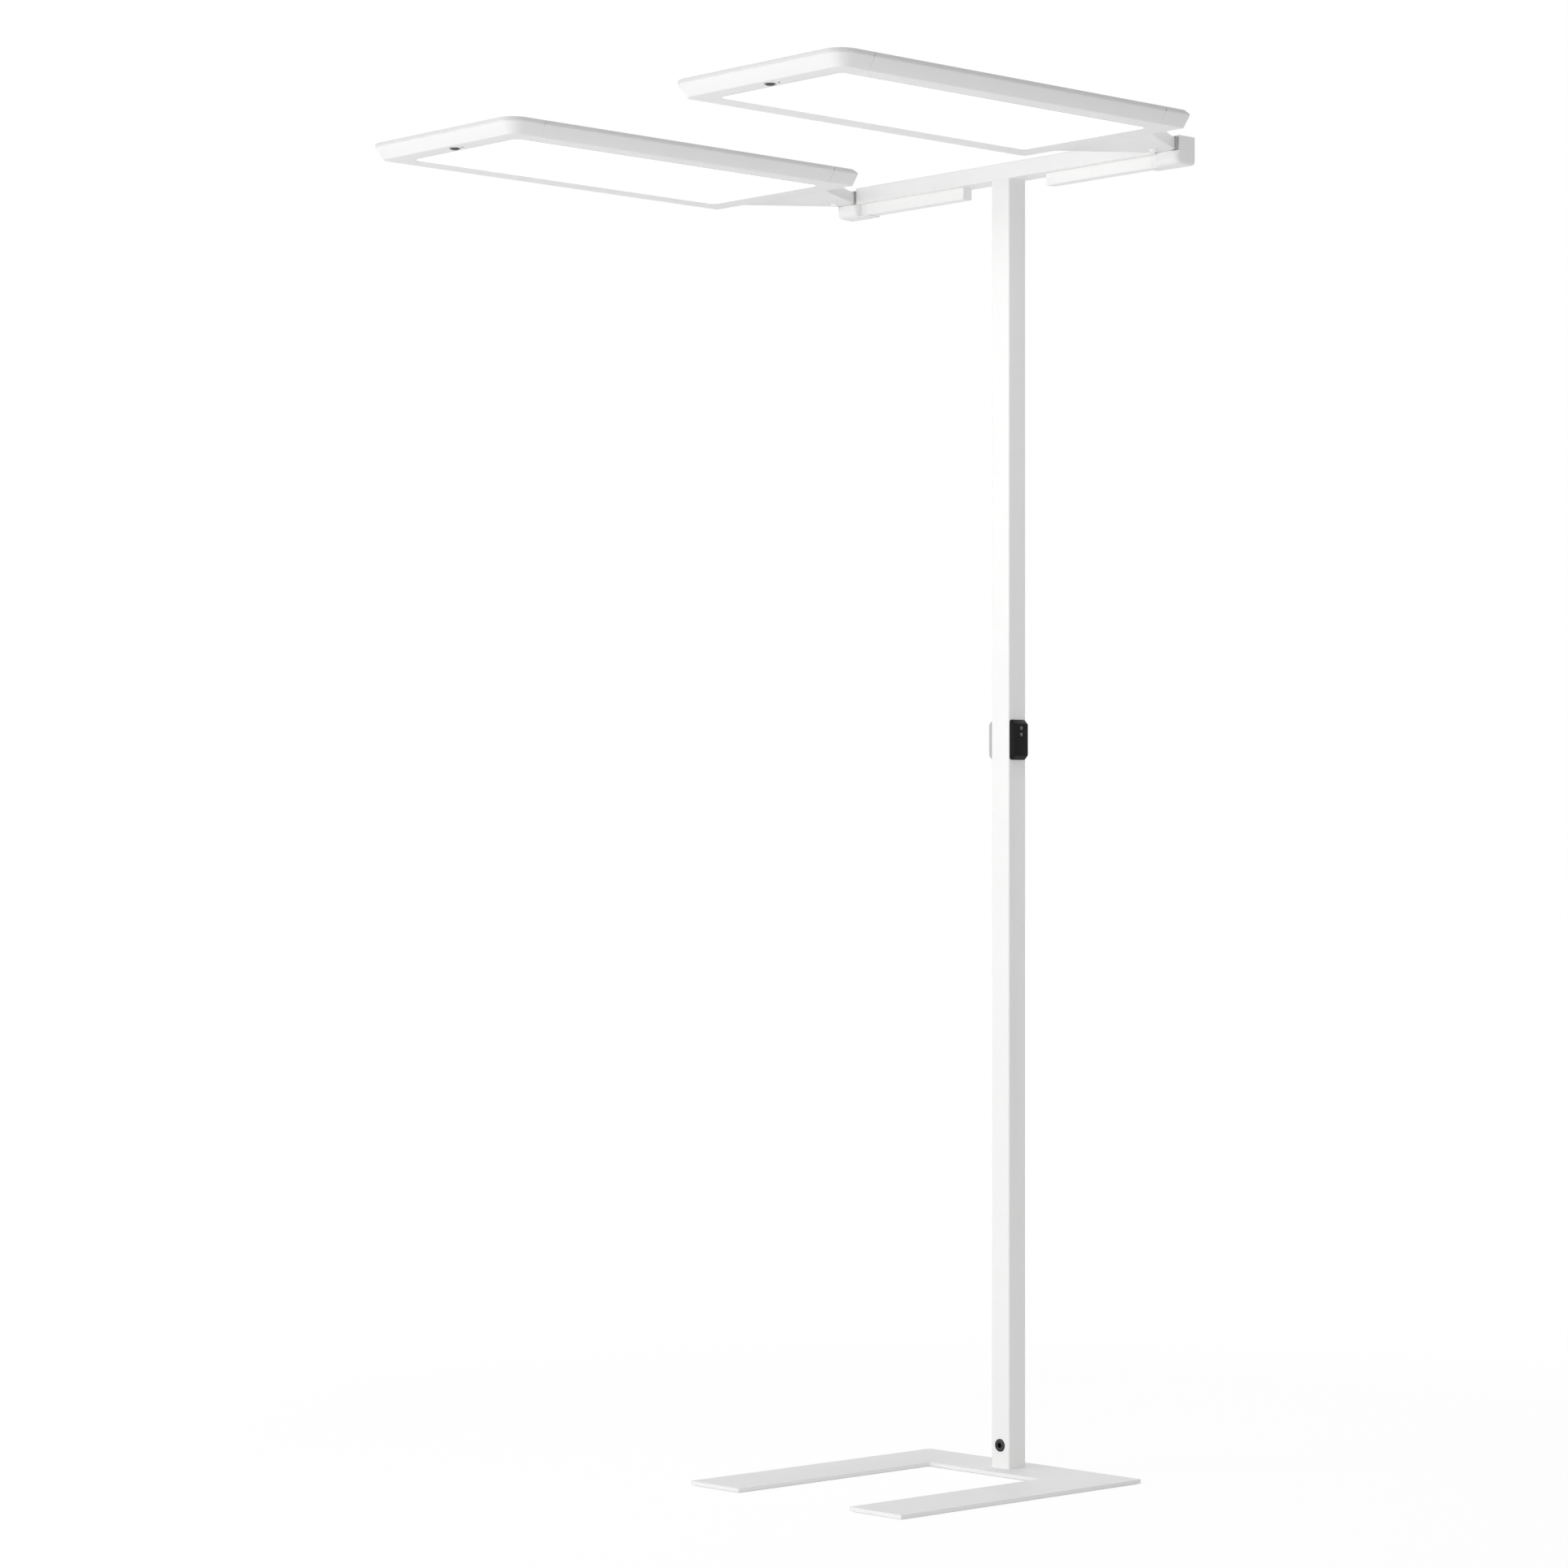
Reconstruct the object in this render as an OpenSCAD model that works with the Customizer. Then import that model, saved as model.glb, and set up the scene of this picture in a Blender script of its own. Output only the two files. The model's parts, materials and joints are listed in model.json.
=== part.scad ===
// Office floor lamp: a flat U-shaped foot, one square post with a control unit,
// a cross arm, and two flat light heads that swivel sideways on their necks.
// X is across the lamp, the heads and the foot's legs point to -Y, Z is up.
// The origin is on the floor under the middle of the post.

/* [Overall] */
// Height of the lamp, from the floor to the top of the arm
total_h = 1956; // [1700:1:2200]

/* [Foot] */
// Width of the foot plate
base_w = 439; // [380:1:560]
// Depth of the foot plate's cross piece, which is centred on the post
base_cross_d = 105; // [80:1:150]
// Width of each leg of the foot plate
leg_w = 104; // [70:1:130]
// Length of each leg, in front of the cross piece
leg_len = 389; // [300:1:460]
// Thickness of the foot plate
base_t = 6; // [5:0.5:12]
// Radius of the foot plate's corners
base_r = 2; // [0.5:0.5:10]
// Thickness of the rubber mat under the foot plate
mat_t = 1; // [0.5:0.25:3]
// How far the rubber mat stays inside the plate's edge
mat_inset = 4; // [2:1:20]

/* [Post] */
// Width of the post
post_w = 37; // [34:1:60]
// Depth of the post
post_d = 36; // [34:1:60]
// Wall of the post
post_wall = 2; // [1.5:0.25:3]
// Outer radius of the post's edges
post_r = 2.5; // [1:0.25:4]
// Height of the block that is pressed into the foot of the post
foot_block_h = 22; // [15:1:24]
// Height of the block that is pressed into the head of the post
head_block_h = 28; // [20:1:60]

/* [Cable outlet] */
// Height of the cable gland's axis above the floor
gland_z = 41; // [40:1:80]
// Diameter of the gland's collar
gland_collar_d = 19; // [17:0.5:24]
// Diameter of the gland's body
gland_body_d = 14; // [12:0.5:15]
// Diameter of the hole for the mains lead
gland_bore_d = 8; // [6:0.5:9]
// Thickness of the gland's collar
gland_collar_t = 2; // [1.5:0.25:4]
// Thickness of the gland's nut
gland_nut_t = 4; // [3:0.5:6]
// Diameter of the gland's nut over its corners
gland_nut_d = 19.5; // [18:0.5:22]
// Length of the gland's body behind its nut
gland_tail = 3; // [2:0.5:6]

/* [Control units] */
// Height of the middle of the control units above the floor
unit_z = 1095; // [900:1:1250]
// Width of a control unit where it meets the post
unit_w = 34; // [31:0.5:36]
// Height of a control unit where it meets the post
unit_h = 60; // [54:1:90]
// How far a control unit stands off the post
unit_t = 7.5; // [6:0.5:12]
// How far the unit's bevel runs in at its sides
unit_bevel_side = 2; // [1:0.25:3]
// How far the unit's bevel runs in at its top and bottom
unit_bevel_end = 6; // [3:0.5:8]
// Radius of the unit's corners
unit_r = 4; // [2:0.5:6]
// Wall of the control units
unit_wall = 2; // [1.5:0.25:2.5]
// Width of the window in the post behind each unit
window_w = 24; // [20:0.5:26]
// Height of the window in the post behind each unit
window_h = 50; // [44:1:52]
// Diameter of the push buttons
button_d = 7; // [5:0.25:7.5]
// How far the buttons stand proud
button_proud = 0.8; // [0.6:0.1:2]
// Travel of the buttons
button_travel = 0.5; // [0.3:0.1:1]
// Height of the power button above the middle of the unit
power_dz = 17.3; // [14:0.1:19]
// Distance between the power button and the dimmer button
button_pitch = 9.5; // [9:0.1:12]
// Thickness of the circuit board
board_t = 1.6; // [0.8:0.2:2]
// How deep the circuit board lies in the post's window
board_depth = 1.6; // [1.2:0.1:2]

/* [Arm] */
// Length of the arm's tube between the two end blocks
arm_len = 618; // [540:1:760]
// Depth of the arm
arm_d = 38; // [36:1:50]
// Height of the arm
arm_h = 24; // [22:0.5:36]
// Wall of the arm's tube
arm_wall = 2.5; // [2:0.25:4]
// Outer radius of the arm's long edges
arm_r = 1.5; // [1:0.25:2]
// Length of the spacer inside the arm, over the post
spacer_len = 60; // [40:1:120]

/* [Arm end blocks] */
// Width of an end block, along the arm
block_w = 44; // [42:1:60]
// How far an end block reaches below the arm
block_drop = 22; // [20:1:30]
// Depth of the recess in the block's front that the neck turns in
recess_d = 4.5; // [3:0.5:10]
// Radius of the block's lower outer corner
block_r = 4; // [2:0.5:8]
// Radius of the block's front edge beside the driver housing
block_nose_r = 7; // [1:0.5:8]
// Length of the ledge that carries the driver housing
ledge_len = 48; // [30:1:80]
// Thickness of the ledge
ledge_t = 4; // [3:0.5:6]
// Depth of the ledge
ledge_d = 24; // [20:1:32]
// Length of the block's plug inside the arm
plug_len = 18; // [12:1:40]

/* [Driver housings] */
// Width of a driver housing, across the arm
driver_w = 18; // [16:0.5:26]
// Distance from the post's axis to a driver housing
driver_start = 86; // [50:1:120]
// Free space between a driver housing and the end block
driver_end_gap = 13; // [4:1:25]
// Wall of a driver housing
driver_wall = 1.5; // [1:0.25:2]
// Radius of a driver housing's long edges
driver_r = 1; // [0.5:0.25:3]
// Free space for the wires at each end of a driver
driver_space = 13.5; // [5:0.5:30]

/* [Swivel] */
// Distance from the arm's axis forward to the swivel axis
pivot_y = 45; // [42:1:60]
// Diameter of the swivel pin
pin_d = 8; // [6:0.5:10]
// Radial play between the swivel pin and the tongue
pin_play = 0.05; // [0.01:0.01:0.1]
// Thickness of the tongue
tongue_t = 12; // [8:0.5:12]
// Width of the tongue's bar
tongue_w = 15; // [10:0.5:15]
// Diameter of the tongue's eye
eye_d = 24; // [20:0.5:26]
// Thickness of each swivel washer
washer_t = 1; // [0.5:0.25:1.5]
// Diameter of the white cap under the swivel pin
cap_d = 12; // [10:0.5:14]

/* [Heads] */
// Width of a head
head_w = 329; // [260:1:400]
// Distance from the arm's axis to the head's front edge
head_front = 822; // [600:1:950]
// Distance from the arm's axis to the head's rear edge
head_rear = 153; // [120:1:200]
// Thickness of a head
head_t = 22.5; // [20:0.5:30]
// How far a head reaches below the arm's underside
head_drop = 3; // [0:0.5:6]
// Height of the upright lip round the head's top edge
lip_h = 5; // [2:0.5:6]
// How far the head's sides lean in
side_lean = 11.5; // [6:0.5:16]
// How far the head's front leans in
front_lean = 13; // [6:0.5:20]
// Radius of the head's front corners
front_r = 27; // [20:1:60]
// Radius of the head's rear corners
rear_r = 8; // [4:0.5:12]
// Width of the rim at the sides of the luminous face
rim_w = 36; // [32:0.5:50]
// Width of the rim at the front
front_rim_w = 35; // [32:0.5:50]
// Width of the rim at the rear
rear_rim_w = 38; // [36:0.5:60]
// Radius of the luminous face's corners
open_r = 8; // [2:0.5:9]
// Length of the front cap
front_cap_len = 62; // [56:1:90]
// Length of the rear cap
rear_cap_len = 48; // [46:1:80]
// Wall of the end caps
cap_wall = 2.5; // [2:0.25:3]
// Wall of the side rails
rail_wall = 2; // [1.5:0.25:2.5]

/* [Light parts] */
// Thickness of the diffuser
diffuser_t = 2.5; // [1.5:0.25:3]
// How far the diffuser lies on its seat
seat_w = 5; // [3:0.5:8]
// Thickness of the rim under the diffuser
seat_t = 1.5; // [1:0.25:2]
// Thickness of the light guide
guide_t = 4; // [2:0.5:4.5]
// Thickness of the reflector plate
reflector_t = 1; // [0.5:0.25:1.5]
// Height of the LED bars
led_bar_h = 8; // [6:0.5:9]
// Thickness of the LED bars
led_bar_t = 2; // [1:0.25:2.5]
// Thickness of the top cover
cover_t = 1.5; // [1:0.25:2]
// Width of the indirect light's window in the top cover
uplight_w = 200; // [120:1:210]
// Free length of the top cover in front of and behind its window
uplight_margin = 60; // [40:1:120]
// Thickness of the indirect light's window
uplight_t = 1.5; // [1:0.25:2]
// Width of the indirect light's board
uplight_board_w = 60; // [30:1:100]

/* [Sensors] */
// Diameter of the presence sensor's lens
sensor_d = 16; // [12:0.5:17]
// How far the lens stands below the rim
sensor_proud = 3; // [2:0.5:5]
// Diameter of the daylight sensor
daylight_d = 3.2; // [2:0.2:4]
// Distance between the two sensors
daylight_dx = 17; // [14:0.5:30]

/* [Neck] */
// Width of the neck where it leaves the head
neck_w = 156; // [120:1:200]
// Width of the neck at its rear end
neck_end_w = 40; // [38:1:42]
// Distance from the swivel axis back to the neck's rear end
neck_tail = 23.5; // [20:0.5:24]
// Width of the neck's flat keel where it leaves the head
keel_w = 48; // [30:1:80]
// How far the neck's wings rise from the keel
wing_rise = 9; // [3:0.5:12]
// Wall of the neck
neck_wall = 3; // [2:0.5:4]

/* [Screws] */
// Diameter of the screws in the foot and the arm
screw_d = 6; // [5:1:6]
// Half the distance between the screws
screw_off = 10; // [9:0.5:10.5]
// Diameter of the foot screws' heads
foot_head_d = 12; // [10:0.5:12]
// Diameter of the arm screws' heads
arm_head_d = 10.5; // [9:0.5:11]

/* [Hidden] */
$fn = 64;
play = 0.1;                              // gap round a piece that is pressed or bolted in
free = 0.3;                              // gap round a piece that moves
over = 1;                                // how far a cutting shape passes a face
slice = 0.01;                            // thickness of the end slices that a loft runs between
mold_fn = 32;                            // sides of the round corners of moulded shells

base_top = mat_t + base_t;
arm_low = total_h - arm_h;
base_gap_w = base_w - 2 * leg_w;
base_front = base_cross_d / 2 + leg_len;
post_in_w = post_w - 2 * post_wall;
post_in_d = post_d - 2 * post_wall;

arm_end = arm_len / 2;
arm_front = arm_d / 2;
arm_in_d = arm_d - 2 * arm_wall;
arm_in_h = arm_h - 2 * arm_wall;
block_low = arm_low - block_drop;
block_mid = arm_end + block_w / 2;
recess_y = arm_front - recess_d;
driver_end = arm_end - driver_end_gap;
driver_low = block_low + ledge_t;
driver_h = arm_low - driver_low;

head_x = block_mid;
head_low = arm_low - head_drop;
head_top = head_low + head_t;
lip_low = head_top - lip_h;
half_top = head_w / 2;
half_low = half_top - side_lean;
front_low = head_front - front_lean;
open_half = half_low - rim_w;
open_front = front_low - front_rim_w;
open_rear = head_rear + rear_rim_w;
front_seam = head_front - front_cap_len;
rear_seam = head_rear + rear_cap_len;
cover_low = head_top - cover_t;
cover_inset = 2;
cover_half = half_top - cover_inset;
seat_top = head_low + seat_t;
guide_low = seat_top + diffuser_t;
guide_top = guide_low + guide_t;
web_x = open_half + seat_w;
diffuser_front = open_front + seat_w - play;
diffuser_rear = open_rear - seat_w + play;
guide_half = web_x - play - led_bar_t - play;
uplight_front = head_front - uplight_margin;
uplight_rear = head_rear + uplight_margin;
uplight_lap = 8;

neck_in_top = head_top - cover_t;
tongue_high = neck_in_top - washer_t;
tongue_low = tongue_high - tongue_t;
slot_low = tongue_low - washer_t;
pocket_depth = 19;
seal_t = 1.2;
seal_low_gap = 1;
seal_top_gap = 0.5;
cap_seat = slot_low - 2.5;
cap_proud = 2;
cap_edge = 1;
pin_end_gap = 0.3;

unit_face_w = unit_w - 2 * unit_bevel_side;
unit_face_h = unit_h - 2 * unit_bevel_end;
unit_skirt = 1;
boss_d = 3;
collar_t = 1;
collar_d = button_d + 1.8;
stem_d = 3;

// ---------------------------------------------------------------- helpers

// A rectangle with round corners, centred on the origin
module round_rect(w, d, r) {
    square([w - 2 * r, d], center = true);
    square([w, d - 2 * r], center = true);
    for (x = [-1, 1], y = [-1, 1])
        translate([x * (w / 2 - r), y * (d / 2 - r)]) circle(r);
}

// Turns a shape drawn in X and Y, with its height along Z, so that its height runs along X
module along_x() { rotate([90, 0, 90]) children(); }

// Turns a shape drawn in X and Y so that Y becomes Z and its height runs along -Y
module along_front() { rotate([90, 0, 0]) children(); }

// The right side is drawn; the left side is its mirror image
module side(s) { mirror([s < 0 ? 1 : 0, 0, 0]) children(); }

// The same, with the origin moved to the middle of the head
module head_side(s) { side(s) translate([head_x, 0, 0]) children(); }

// A box from its lowest to its highest corner
module span(low, high) { translate(low) cube(high - low); }

// ---------------------------------------------------------------- foot and post

// The foot's U shape, drawn in a little all round
module foot_outline(inset) {
    difference() {
        translate([0, -leg_len / 2])
            round_rect(base_w - 2 * inset, base_cross_d + leg_len - 2 * inset, base_r);
        translate([-base_gap_w / 2 - inset, -base_front - over])
            square([base_gap_w + 2 * inset, leg_len + over + inset]);
    }
}

module screw_places() {
    for (x = [-1, 1], y = [-1, 1])
        translate([x * screw_off, y * screw_off, 0]) children();
}

module floor_mat() {
    color("dimgray") linear_extrude(mat_t) foot_outline(mat_inset);
}

foot_cone = (foot_head_d - screw_d) / 2;
foot_hole_depth = foot_block_h - 4;
foot_screw_depth = foot_hole_depth - 2;

module base_plate() {
    color("gainsboro") difference() {
        translate([0, 0, mat_t]) linear_extrude(base_t) foot_outline(0);
        screw_places() {
            translate([0, 0, mat_t - over]) cylinder(h = base_t + 2 * over, d = screw_d + 2 * play);
            translate([0, 0, mat_t - play])
                cylinder(h = foot_cone + play, d1 = foot_head_d + 4 * play, d2 = screw_d + 2 * play);
        }
    }
}

module base_screws() {
    color("silver") screw_places() translate([0, 0, mat_t]) {
        cylinder(h = foot_cone, d1 = foot_head_d, d2 = screw_d);
        translate([0, 0, foot_cone / 2])
            cylinder(h = base_t - foot_cone / 2 + foot_screw_depth, d = screw_d);
    }
}

module post_foot_block() {
    color("silver") difference() {
        translate([0, 0, base_top]) linear_extrude(foot_block_h)
            square([post_in_w - 2 * play, post_in_d - 2 * play], center = true);
        screw_places() translate([0, 0, base_top - over])
            cylinder(h = foot_hole_depth + over, d = screw_d + 2 * play);
    }
}

module post() {
    color("white") difference() {
        translate([0, 0, base_top]) linear_extrude(arm_low - base_top) difference() {
            round_rect(post_w, post_d, post_r);
            square([post_in_w, post_in_d], center = true);
        }
        translate([0, 0, gland_z]) along_front()
            cylinder(h = post_d, d = gland_body_d + 2 * play);
        span([-post_w, -window_w / 2, unit_z - window_h / 2],
             [post_w, window_w / 2, unit_z + window_h / 2]);
    }
}

gland_len = gland_collar_t + post_wall + gland_nut_t + gland_tail;
gland_edge = gland_collar_t * 0.4;

// A turned bush whose collar has a rounded edge
module cable_gland() {
    color("black") translate([0, -post_d / 2, gland_z]) along_front() difference() {
        union() {
            rotate_extrude() {
                square([gland_collar_d / 2 - gland_edge, gland_collar_t]);
                square([gland_collar_d / 2, gland_collar_t - gland_edge]);
                translate([gland_collar_d / 2 - gland_edge, gland_collar_t - gland_edge])
                    circle(gland_edge);
            }
            translate([0, 0, gland_collar_t - gland_len])
                cylinder(h = gland_len - gland_collar_t / 2, d = gland_body_d);
        }
        translate([0, 0, gland_collar_t - gland_len - over])
            cylinder(h = gland_len + 2 * over, d = gland_bore_d);
    }
}

module gland_nut() {
    color("dimgray") translate([0, -post_d / 2 + post_wall, gland_z]) along_front()
        translate([0, 0, -gland_nut_t]) difference() {
            rotate(30) cylinder(h = gland_nut_t, d = gland_nut_d, $fn = 6);
            translate([0, 0, -over]) cylinder(h = gland_nut_t + 2 * over, d = gland_body_d + 2 * play);
        }
}

// ---------------------------------------------------------------- control units

// The bevelled block of a control unit, drawn in by a wall, from the post's face outwards
module unit_block(inset) {
    corner = unit_r - inset / 2;
    hull() {
        linear_extrude(unit_skirt)
            round_rect(unit_w - 2 * inset, unit_h - 2 * inset, corner, $fn = mold_fn);
        linear_extrude(unit_t - inset)
            round_rect(unit_face_w - 2 * inset, unit_face_h - 2 * inset, corner / 2, $fn = mold_fn);
    }
}

tab_w = 8;
tab_t = 1.5;
tab_hook = 1.5;
rib_clear = 1;
boss_y = 8.5;
boss_z = 18;

// A unit's shell, with the two tabs that hold it in the post's window
module unit_shell() {
    difference() {
        unit_block(0);
        translate([0, 0, -play]) unit_block(unit_wall);
    }
    for (end = [-1, 1])
        translate([0, end * (window_h / 2 - play - tab_t / 2), -post_wall - tab_hook])
            linear_extrude(post_wall + tab_hook + unit_t - unit_wall - rib_clear)
                square([tab_w, tab_t], center = true);
}

module on_unit(s) {
    side(s) translate([post_w / 2, 0, unit_z]) along_x() children();
}

button_hole = button_d + 2 * free;
inner_face = unit_t - unit_wall - play;
stem_gap = 0.2;
board_margin = 1;

module control_panel() {
    color("black") on_unit(1) {
        difference() {
            unit_shell();
            for (dz = [power_dz, power_dz - button_pitch])
                translate([0, dz, 0]) cylinder(h = unit_t + over, d = button_hole);
        }
        for (y = [-1, 1], z = [-1, 1])
            translate([y * boss_y, z * boss_z, -board_depth])
                cylinder(h = board_depth + unit_t - unit_wall + play, d = boss_d);
    }
}

// A push button: a domed cap, the collar that keeps it in, and its stem
module push_button(dz) {
    stem_end = -board_depth + button_travel + stem_gap;
    dome = button_proud / 2;
    color("dimgray") on_unit(1) translate([0, dz, 0]) {
        translate([0, 0, inner_face - collar_t / 2])
            cylinder(h = unit_t + button_proud - dome - inner_face + collar_t / 2, d = button_d);
        translate([0, 0, unit_t + button_proud - dome])
            cylinder(h = dome, d1 = button_d, d2 = button_d - 4 * dome);
        translate([0, 0, inner_face - collar_t]) cylinder(h = collar_t, d = collar_d);
        translate([0, 0, stem_end]) cylinder(h = inner_face - stem_end, d = stem_d);
    }
}

module power_button() { push_button(power_dz); }

module dimmer_button() { push_button(power_dz - button_pitch); }

module control_board() {
    board_w = window_w - 2 * board_margin;
    board_h = window_h - 2 * tab_t - 2 * board_margin;
    color("darkgreen") on_unit(1) translate([0, 0, -board_depth - board_t])
        linear_extrude(board_t) square([board_w, board_h], center = true);
}

module radio_module_cover() {
    color("silver") on_unit(-1) unit_shell();
}

// ---------------------------------------------------------------- arm

module arm_screw_places() {
    for (x = [-1, 1]) translate([x * screw_off, 0, 0]) children();
}

arm_cone = (arm_head_d - screw_d) / 2;
cable_way_d = 10;
head_hole_depth = 18;
head_screw_depth = head_hole_depth - 2;

module post_head_block() {
    color("silver") difference() {
        translate([0, 0, arm_low - head_block_h]) linear_extrude(head_block_h)
            square([post_in_w - 2 * play, post_in_d - 2 * play], center = true);
        arm_screw_places() translate([0, 0, arm_low - head_hole_depth])
            cylinder(h = head_hole_depth + over, d = screw_d + 2 * play);
        translate([0, 0, arm_low - head_block_h - over])
            cylinder(h = head_block_h + 2 * over, d = cable_way_d);
    }
}

module arm_bar() {
    color("white") difference() {
        translate([-arm_end, 0, arm_low + arm_h / 2]) along_x() linear_extrude(arm_len) difference() {
            round_rect(arm_d, arm_h, arm_r);
            square([arm_in_d, arm_in_h], center = true);
        }
        arm_screw_places() {
            translate([0, 0, arm_low - over]) cylinder(h = arm_h + 2 * over, d = screw_d + 2 * play);
            translate([0, 0, total_h - arm_cone])
                cylinder(h = arm_cone + play, d1 = screw_d + 2 * play, d2 = arm_head_d + 4 * play);
        }
        translate([0, 0, arm_low - over]) cylinder(h = arm_wall + 2 * over, d = cable_way_d);
    }
}

module arm_spacer() {
    color("silver") difference() {
        translate([0, 0, arm_low + arm_wall]) linear_extrude(arm_in_h - play)
            square([spacer_len, arm_in_d - 2 * play], center = true);
        arm_screw_places() translate([0, 0, arm_low])
            cylinder(h = arm_h, d = screw_d + 2 * play);
        translate([0, 0, arm_low]) cylinder(h = arm_h, d = cable_way_d);
    }
}

module arm_bolts() {
    bolt_len = arm_h + head_screw_depth;
    color("silver") arm_screw_places() translate([0, 0, total_h]) {
        translate([0, 0, -arm_cone]) cylinder(h = arm_cone, d1 = screw_d, d2 = arm_head_d);
        translate([0, 0, -bolt_len]) cylinder(h = bolt_len - arm_cone / 2, d = screw_d);
    }
}

// What is taken off the block below the arm to round its front edge
module block_nose() {
    r = block_nose_r;
    difference() {
        span([arm_end - over, -arm_front - over, block_low - over],
             [arm_end + r, r - arm_front, arm_low]);
        translate([arm_end + r, r - arm_front, block_low - 2 * over])
            cylinder(h = arm_low - block_low + 3 * over, r = r);
    }
}

// The cast end of the arm: its plug in the tube, the recess for the neck's turning end,
// the pocket for the tongue and the ledge under the driver housing
module end_block(s) {
    height = total_h - block_low;
    pocket_w = tongue_w + 2 * play;
    pocket_h = tongue_t + 2 * play;
    tongue_mid = tongue_low + tongue_t / 2;
    color("white") side(s) difference() {
        union() {
            difference() {
                translate([0, arm_front, 0]) along_front() linear_extrude(arm_d) {
                    translate([arm_end, block_low + block_r]) square([block_w, height - block_r]);
                    translate([arm_end, block_low]) square([block_w - block_r, height]);
                    translate([arm_end + block_w - block_r, block_low + block_r]) circle(block_r);
                }
                span([arm_end - over, -arm_front - over, arm_low],
                     [arm_end + block_w + over, -recess_y, total_h + over]);
                block_nose();
            }
            span([arm_end - ledge_len, -ledge_d / 2, block_low],
                 [arm_end + over, ledge_d / 2, block_low + ledge_t]);
            translate([arm_end - plug_len, 0, arm_low + arm_h / 2]) along_x()
                linear_extrude(plug_len + over)
                    square([arm_in_d - 2 * play, arm_in_h - 2 * play], center = true);
        }
        translate([block_mid, -recess_y - over, tongue_mid]) rotate([-90, 0, 0])
            linear_extrude(pocket_depth + over) square([pocket_w, pocket_h], center = true);
        translate([arm_end - plug_len - over, 0, tongue_mid]) rotate([0, 90, 0])
            cylinder(h = plug_len + over + block_w / 2, d = cable_way_d);
    }
}

// The fixed tongue that the neck turns on, with its round eye at the swivel axis
module swivel_tongue(s) {
    color("gray") head_side(s) translate([0, -pivot_y, tongue_low]) difference() {
        union() {
            cylinder(h = tongue_t, d = eye_d);
            translate([-tongue_w / 2, 0, 0])
                cube([tongue_w, pivot_y - recess_y + pocket_depth - play, tongue_t]);
        }
        translate([0, 0, -over]) cylinder(h = tongue_t + 2 * over, d = pin_d + 2 * pin_play);
    }
}

// The rubber pad that closes the gap between the neck and the block to the eye
module gap_seal(s) {
    low = arm_low + seal_low_gap;
    high = head_top - seal_top_gap;
    color("gray") head_side(s) difference() {
        span([-neck_end_w / 2, -recess_y - seal_t, low], [neck_end_w / 2, -recess_y, high]);
        span([-tongue_w / 2 - play, -recess_y - seal_t - over, tongue_low - play],
             [tongue_w / 2 + play, -recess_y + over, tongue_high + play]);
    }
}

module driver_housing(s) {
    inner_w = driver_w - 2 * driver_wall;
    color("white") side(s) difference() {
        translate([driver_start, 0, driver_low + driver_h / 2]) along_x()
            linear_extrude(driver_end - driver_start) round_rect(driver_w, driver_h, driver_r);
        span([driver_start + driver_wall, -inner_w / 2, driver_low + driver_wall],
             [driver_end - driver_wall, inner_w / 2, arm_low + over]);
    }
}

driver_top_gap = 1;

module led_driver(s) {
    inner_w = driver_w - 2 * driver_wall - 2 * play;
    end_space = driver_wall + driver_space;
    color("silver") side(s)
        span([driver_start + end_space, -inner_w / 2, driver_low + driver_wall],
             [driver_end - end_space, inner_w / 2, arm_low - driver_top_gap]);
}

// ---------------------------------------------------------------- heads

// Outline of a head in plan, drawn in by side and front, from y0 to y1
module head_plan(side_in, front_in, rear_in, corner_r, tail_r) {
    half = half_top - side_in;
    front = head_front - front_in;
    rear = head_rear + rear_in;
    hull() {
        for (x = [-1, 1]) {
            translate([x * (half - corner_r), -front + corner_r]) circle(corner_r, $fn = mold_fn);
            translate([x * (half - tail_r), -rear - tail_r]) circle(tail_r, $fn = mold_fn);
        }
    }
}

// The head's full body: an upright lip and sides that lean in below it
module head_body(inset) {
    hull() {
        translate([0, 0, lip_low]) linear_extrude(lip_h - inset)
            head_plan(inset, inset, inset, front_r - inset, rear_r - inset);
        translate([0, 0, head_low + inset]) linear_extrude(slice)
            head_plan(side_lean + inset, front_lean + inset, inset,
                      front_r - side_lean - inset, rear_r - inset);
    }
}

// The hole in the rim that the diffuser shows through, and the seat above it
module light_opening() {
    translate([0, -(open_front + open_rear) / 2, head_low - over])
        linear_extrude(seat_t + 2 * over)
            round_rect(2 * open_half, open_front - open_rear, open_r, $fn = mold_fn);
    span([-web_x, -open_front - seat_w, seat_top], [web_x, -open_rear + seat_w, head_top]);
}

// The rebate in the lip that the top cover lies in
module cover_rebate(gap) {
    translate([0, 0, cover_low]) linear_extrude(cover_t + over)
        head_plan(cover_inset - gap, cover_inset - gap, cover_inset - gap,
                  front_r - cover_inset, rear_r - cover_inset);
}

module cap_slice(y0, y1) {
    span([-half_top - over, -y1, head_low - over], [half_top + over, -y0, head_top + over]);
}

sensor_y = (front_low + open_front) / 2;
sensor_body_h = 8.5;
daylight_h = 4.5;
daylight_proud = 0.4;

module sensor_place() { translate([0, -sensor_y, 0]) children(); }

module daylight_place(s) { translate([s * daylight_dx, -sensor_y, 0]) children(); }

module front_cap(s) {
    color("white") head_side(s) difference() {
        intersection() {
            head_body(0);
            cap_slice(front_seam, head_front + over);
        }
        difference() {
            intersection() {
                head_body(cap_wall);
                cap_slice(front_seam - over, head_front);
            }
            sensor_place() cylinder(h = total_h, d = sensor_d + 2 * cap_wall);
        }
        light_opening();
        cover_rebate(play);
        sensor_place() cylinder(h = total_h, d = sensor_d + 2 * play);
        daylight_place(s) cylinder(h = total_h, d = daylight_d + 2 * play);
    }
}

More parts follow.
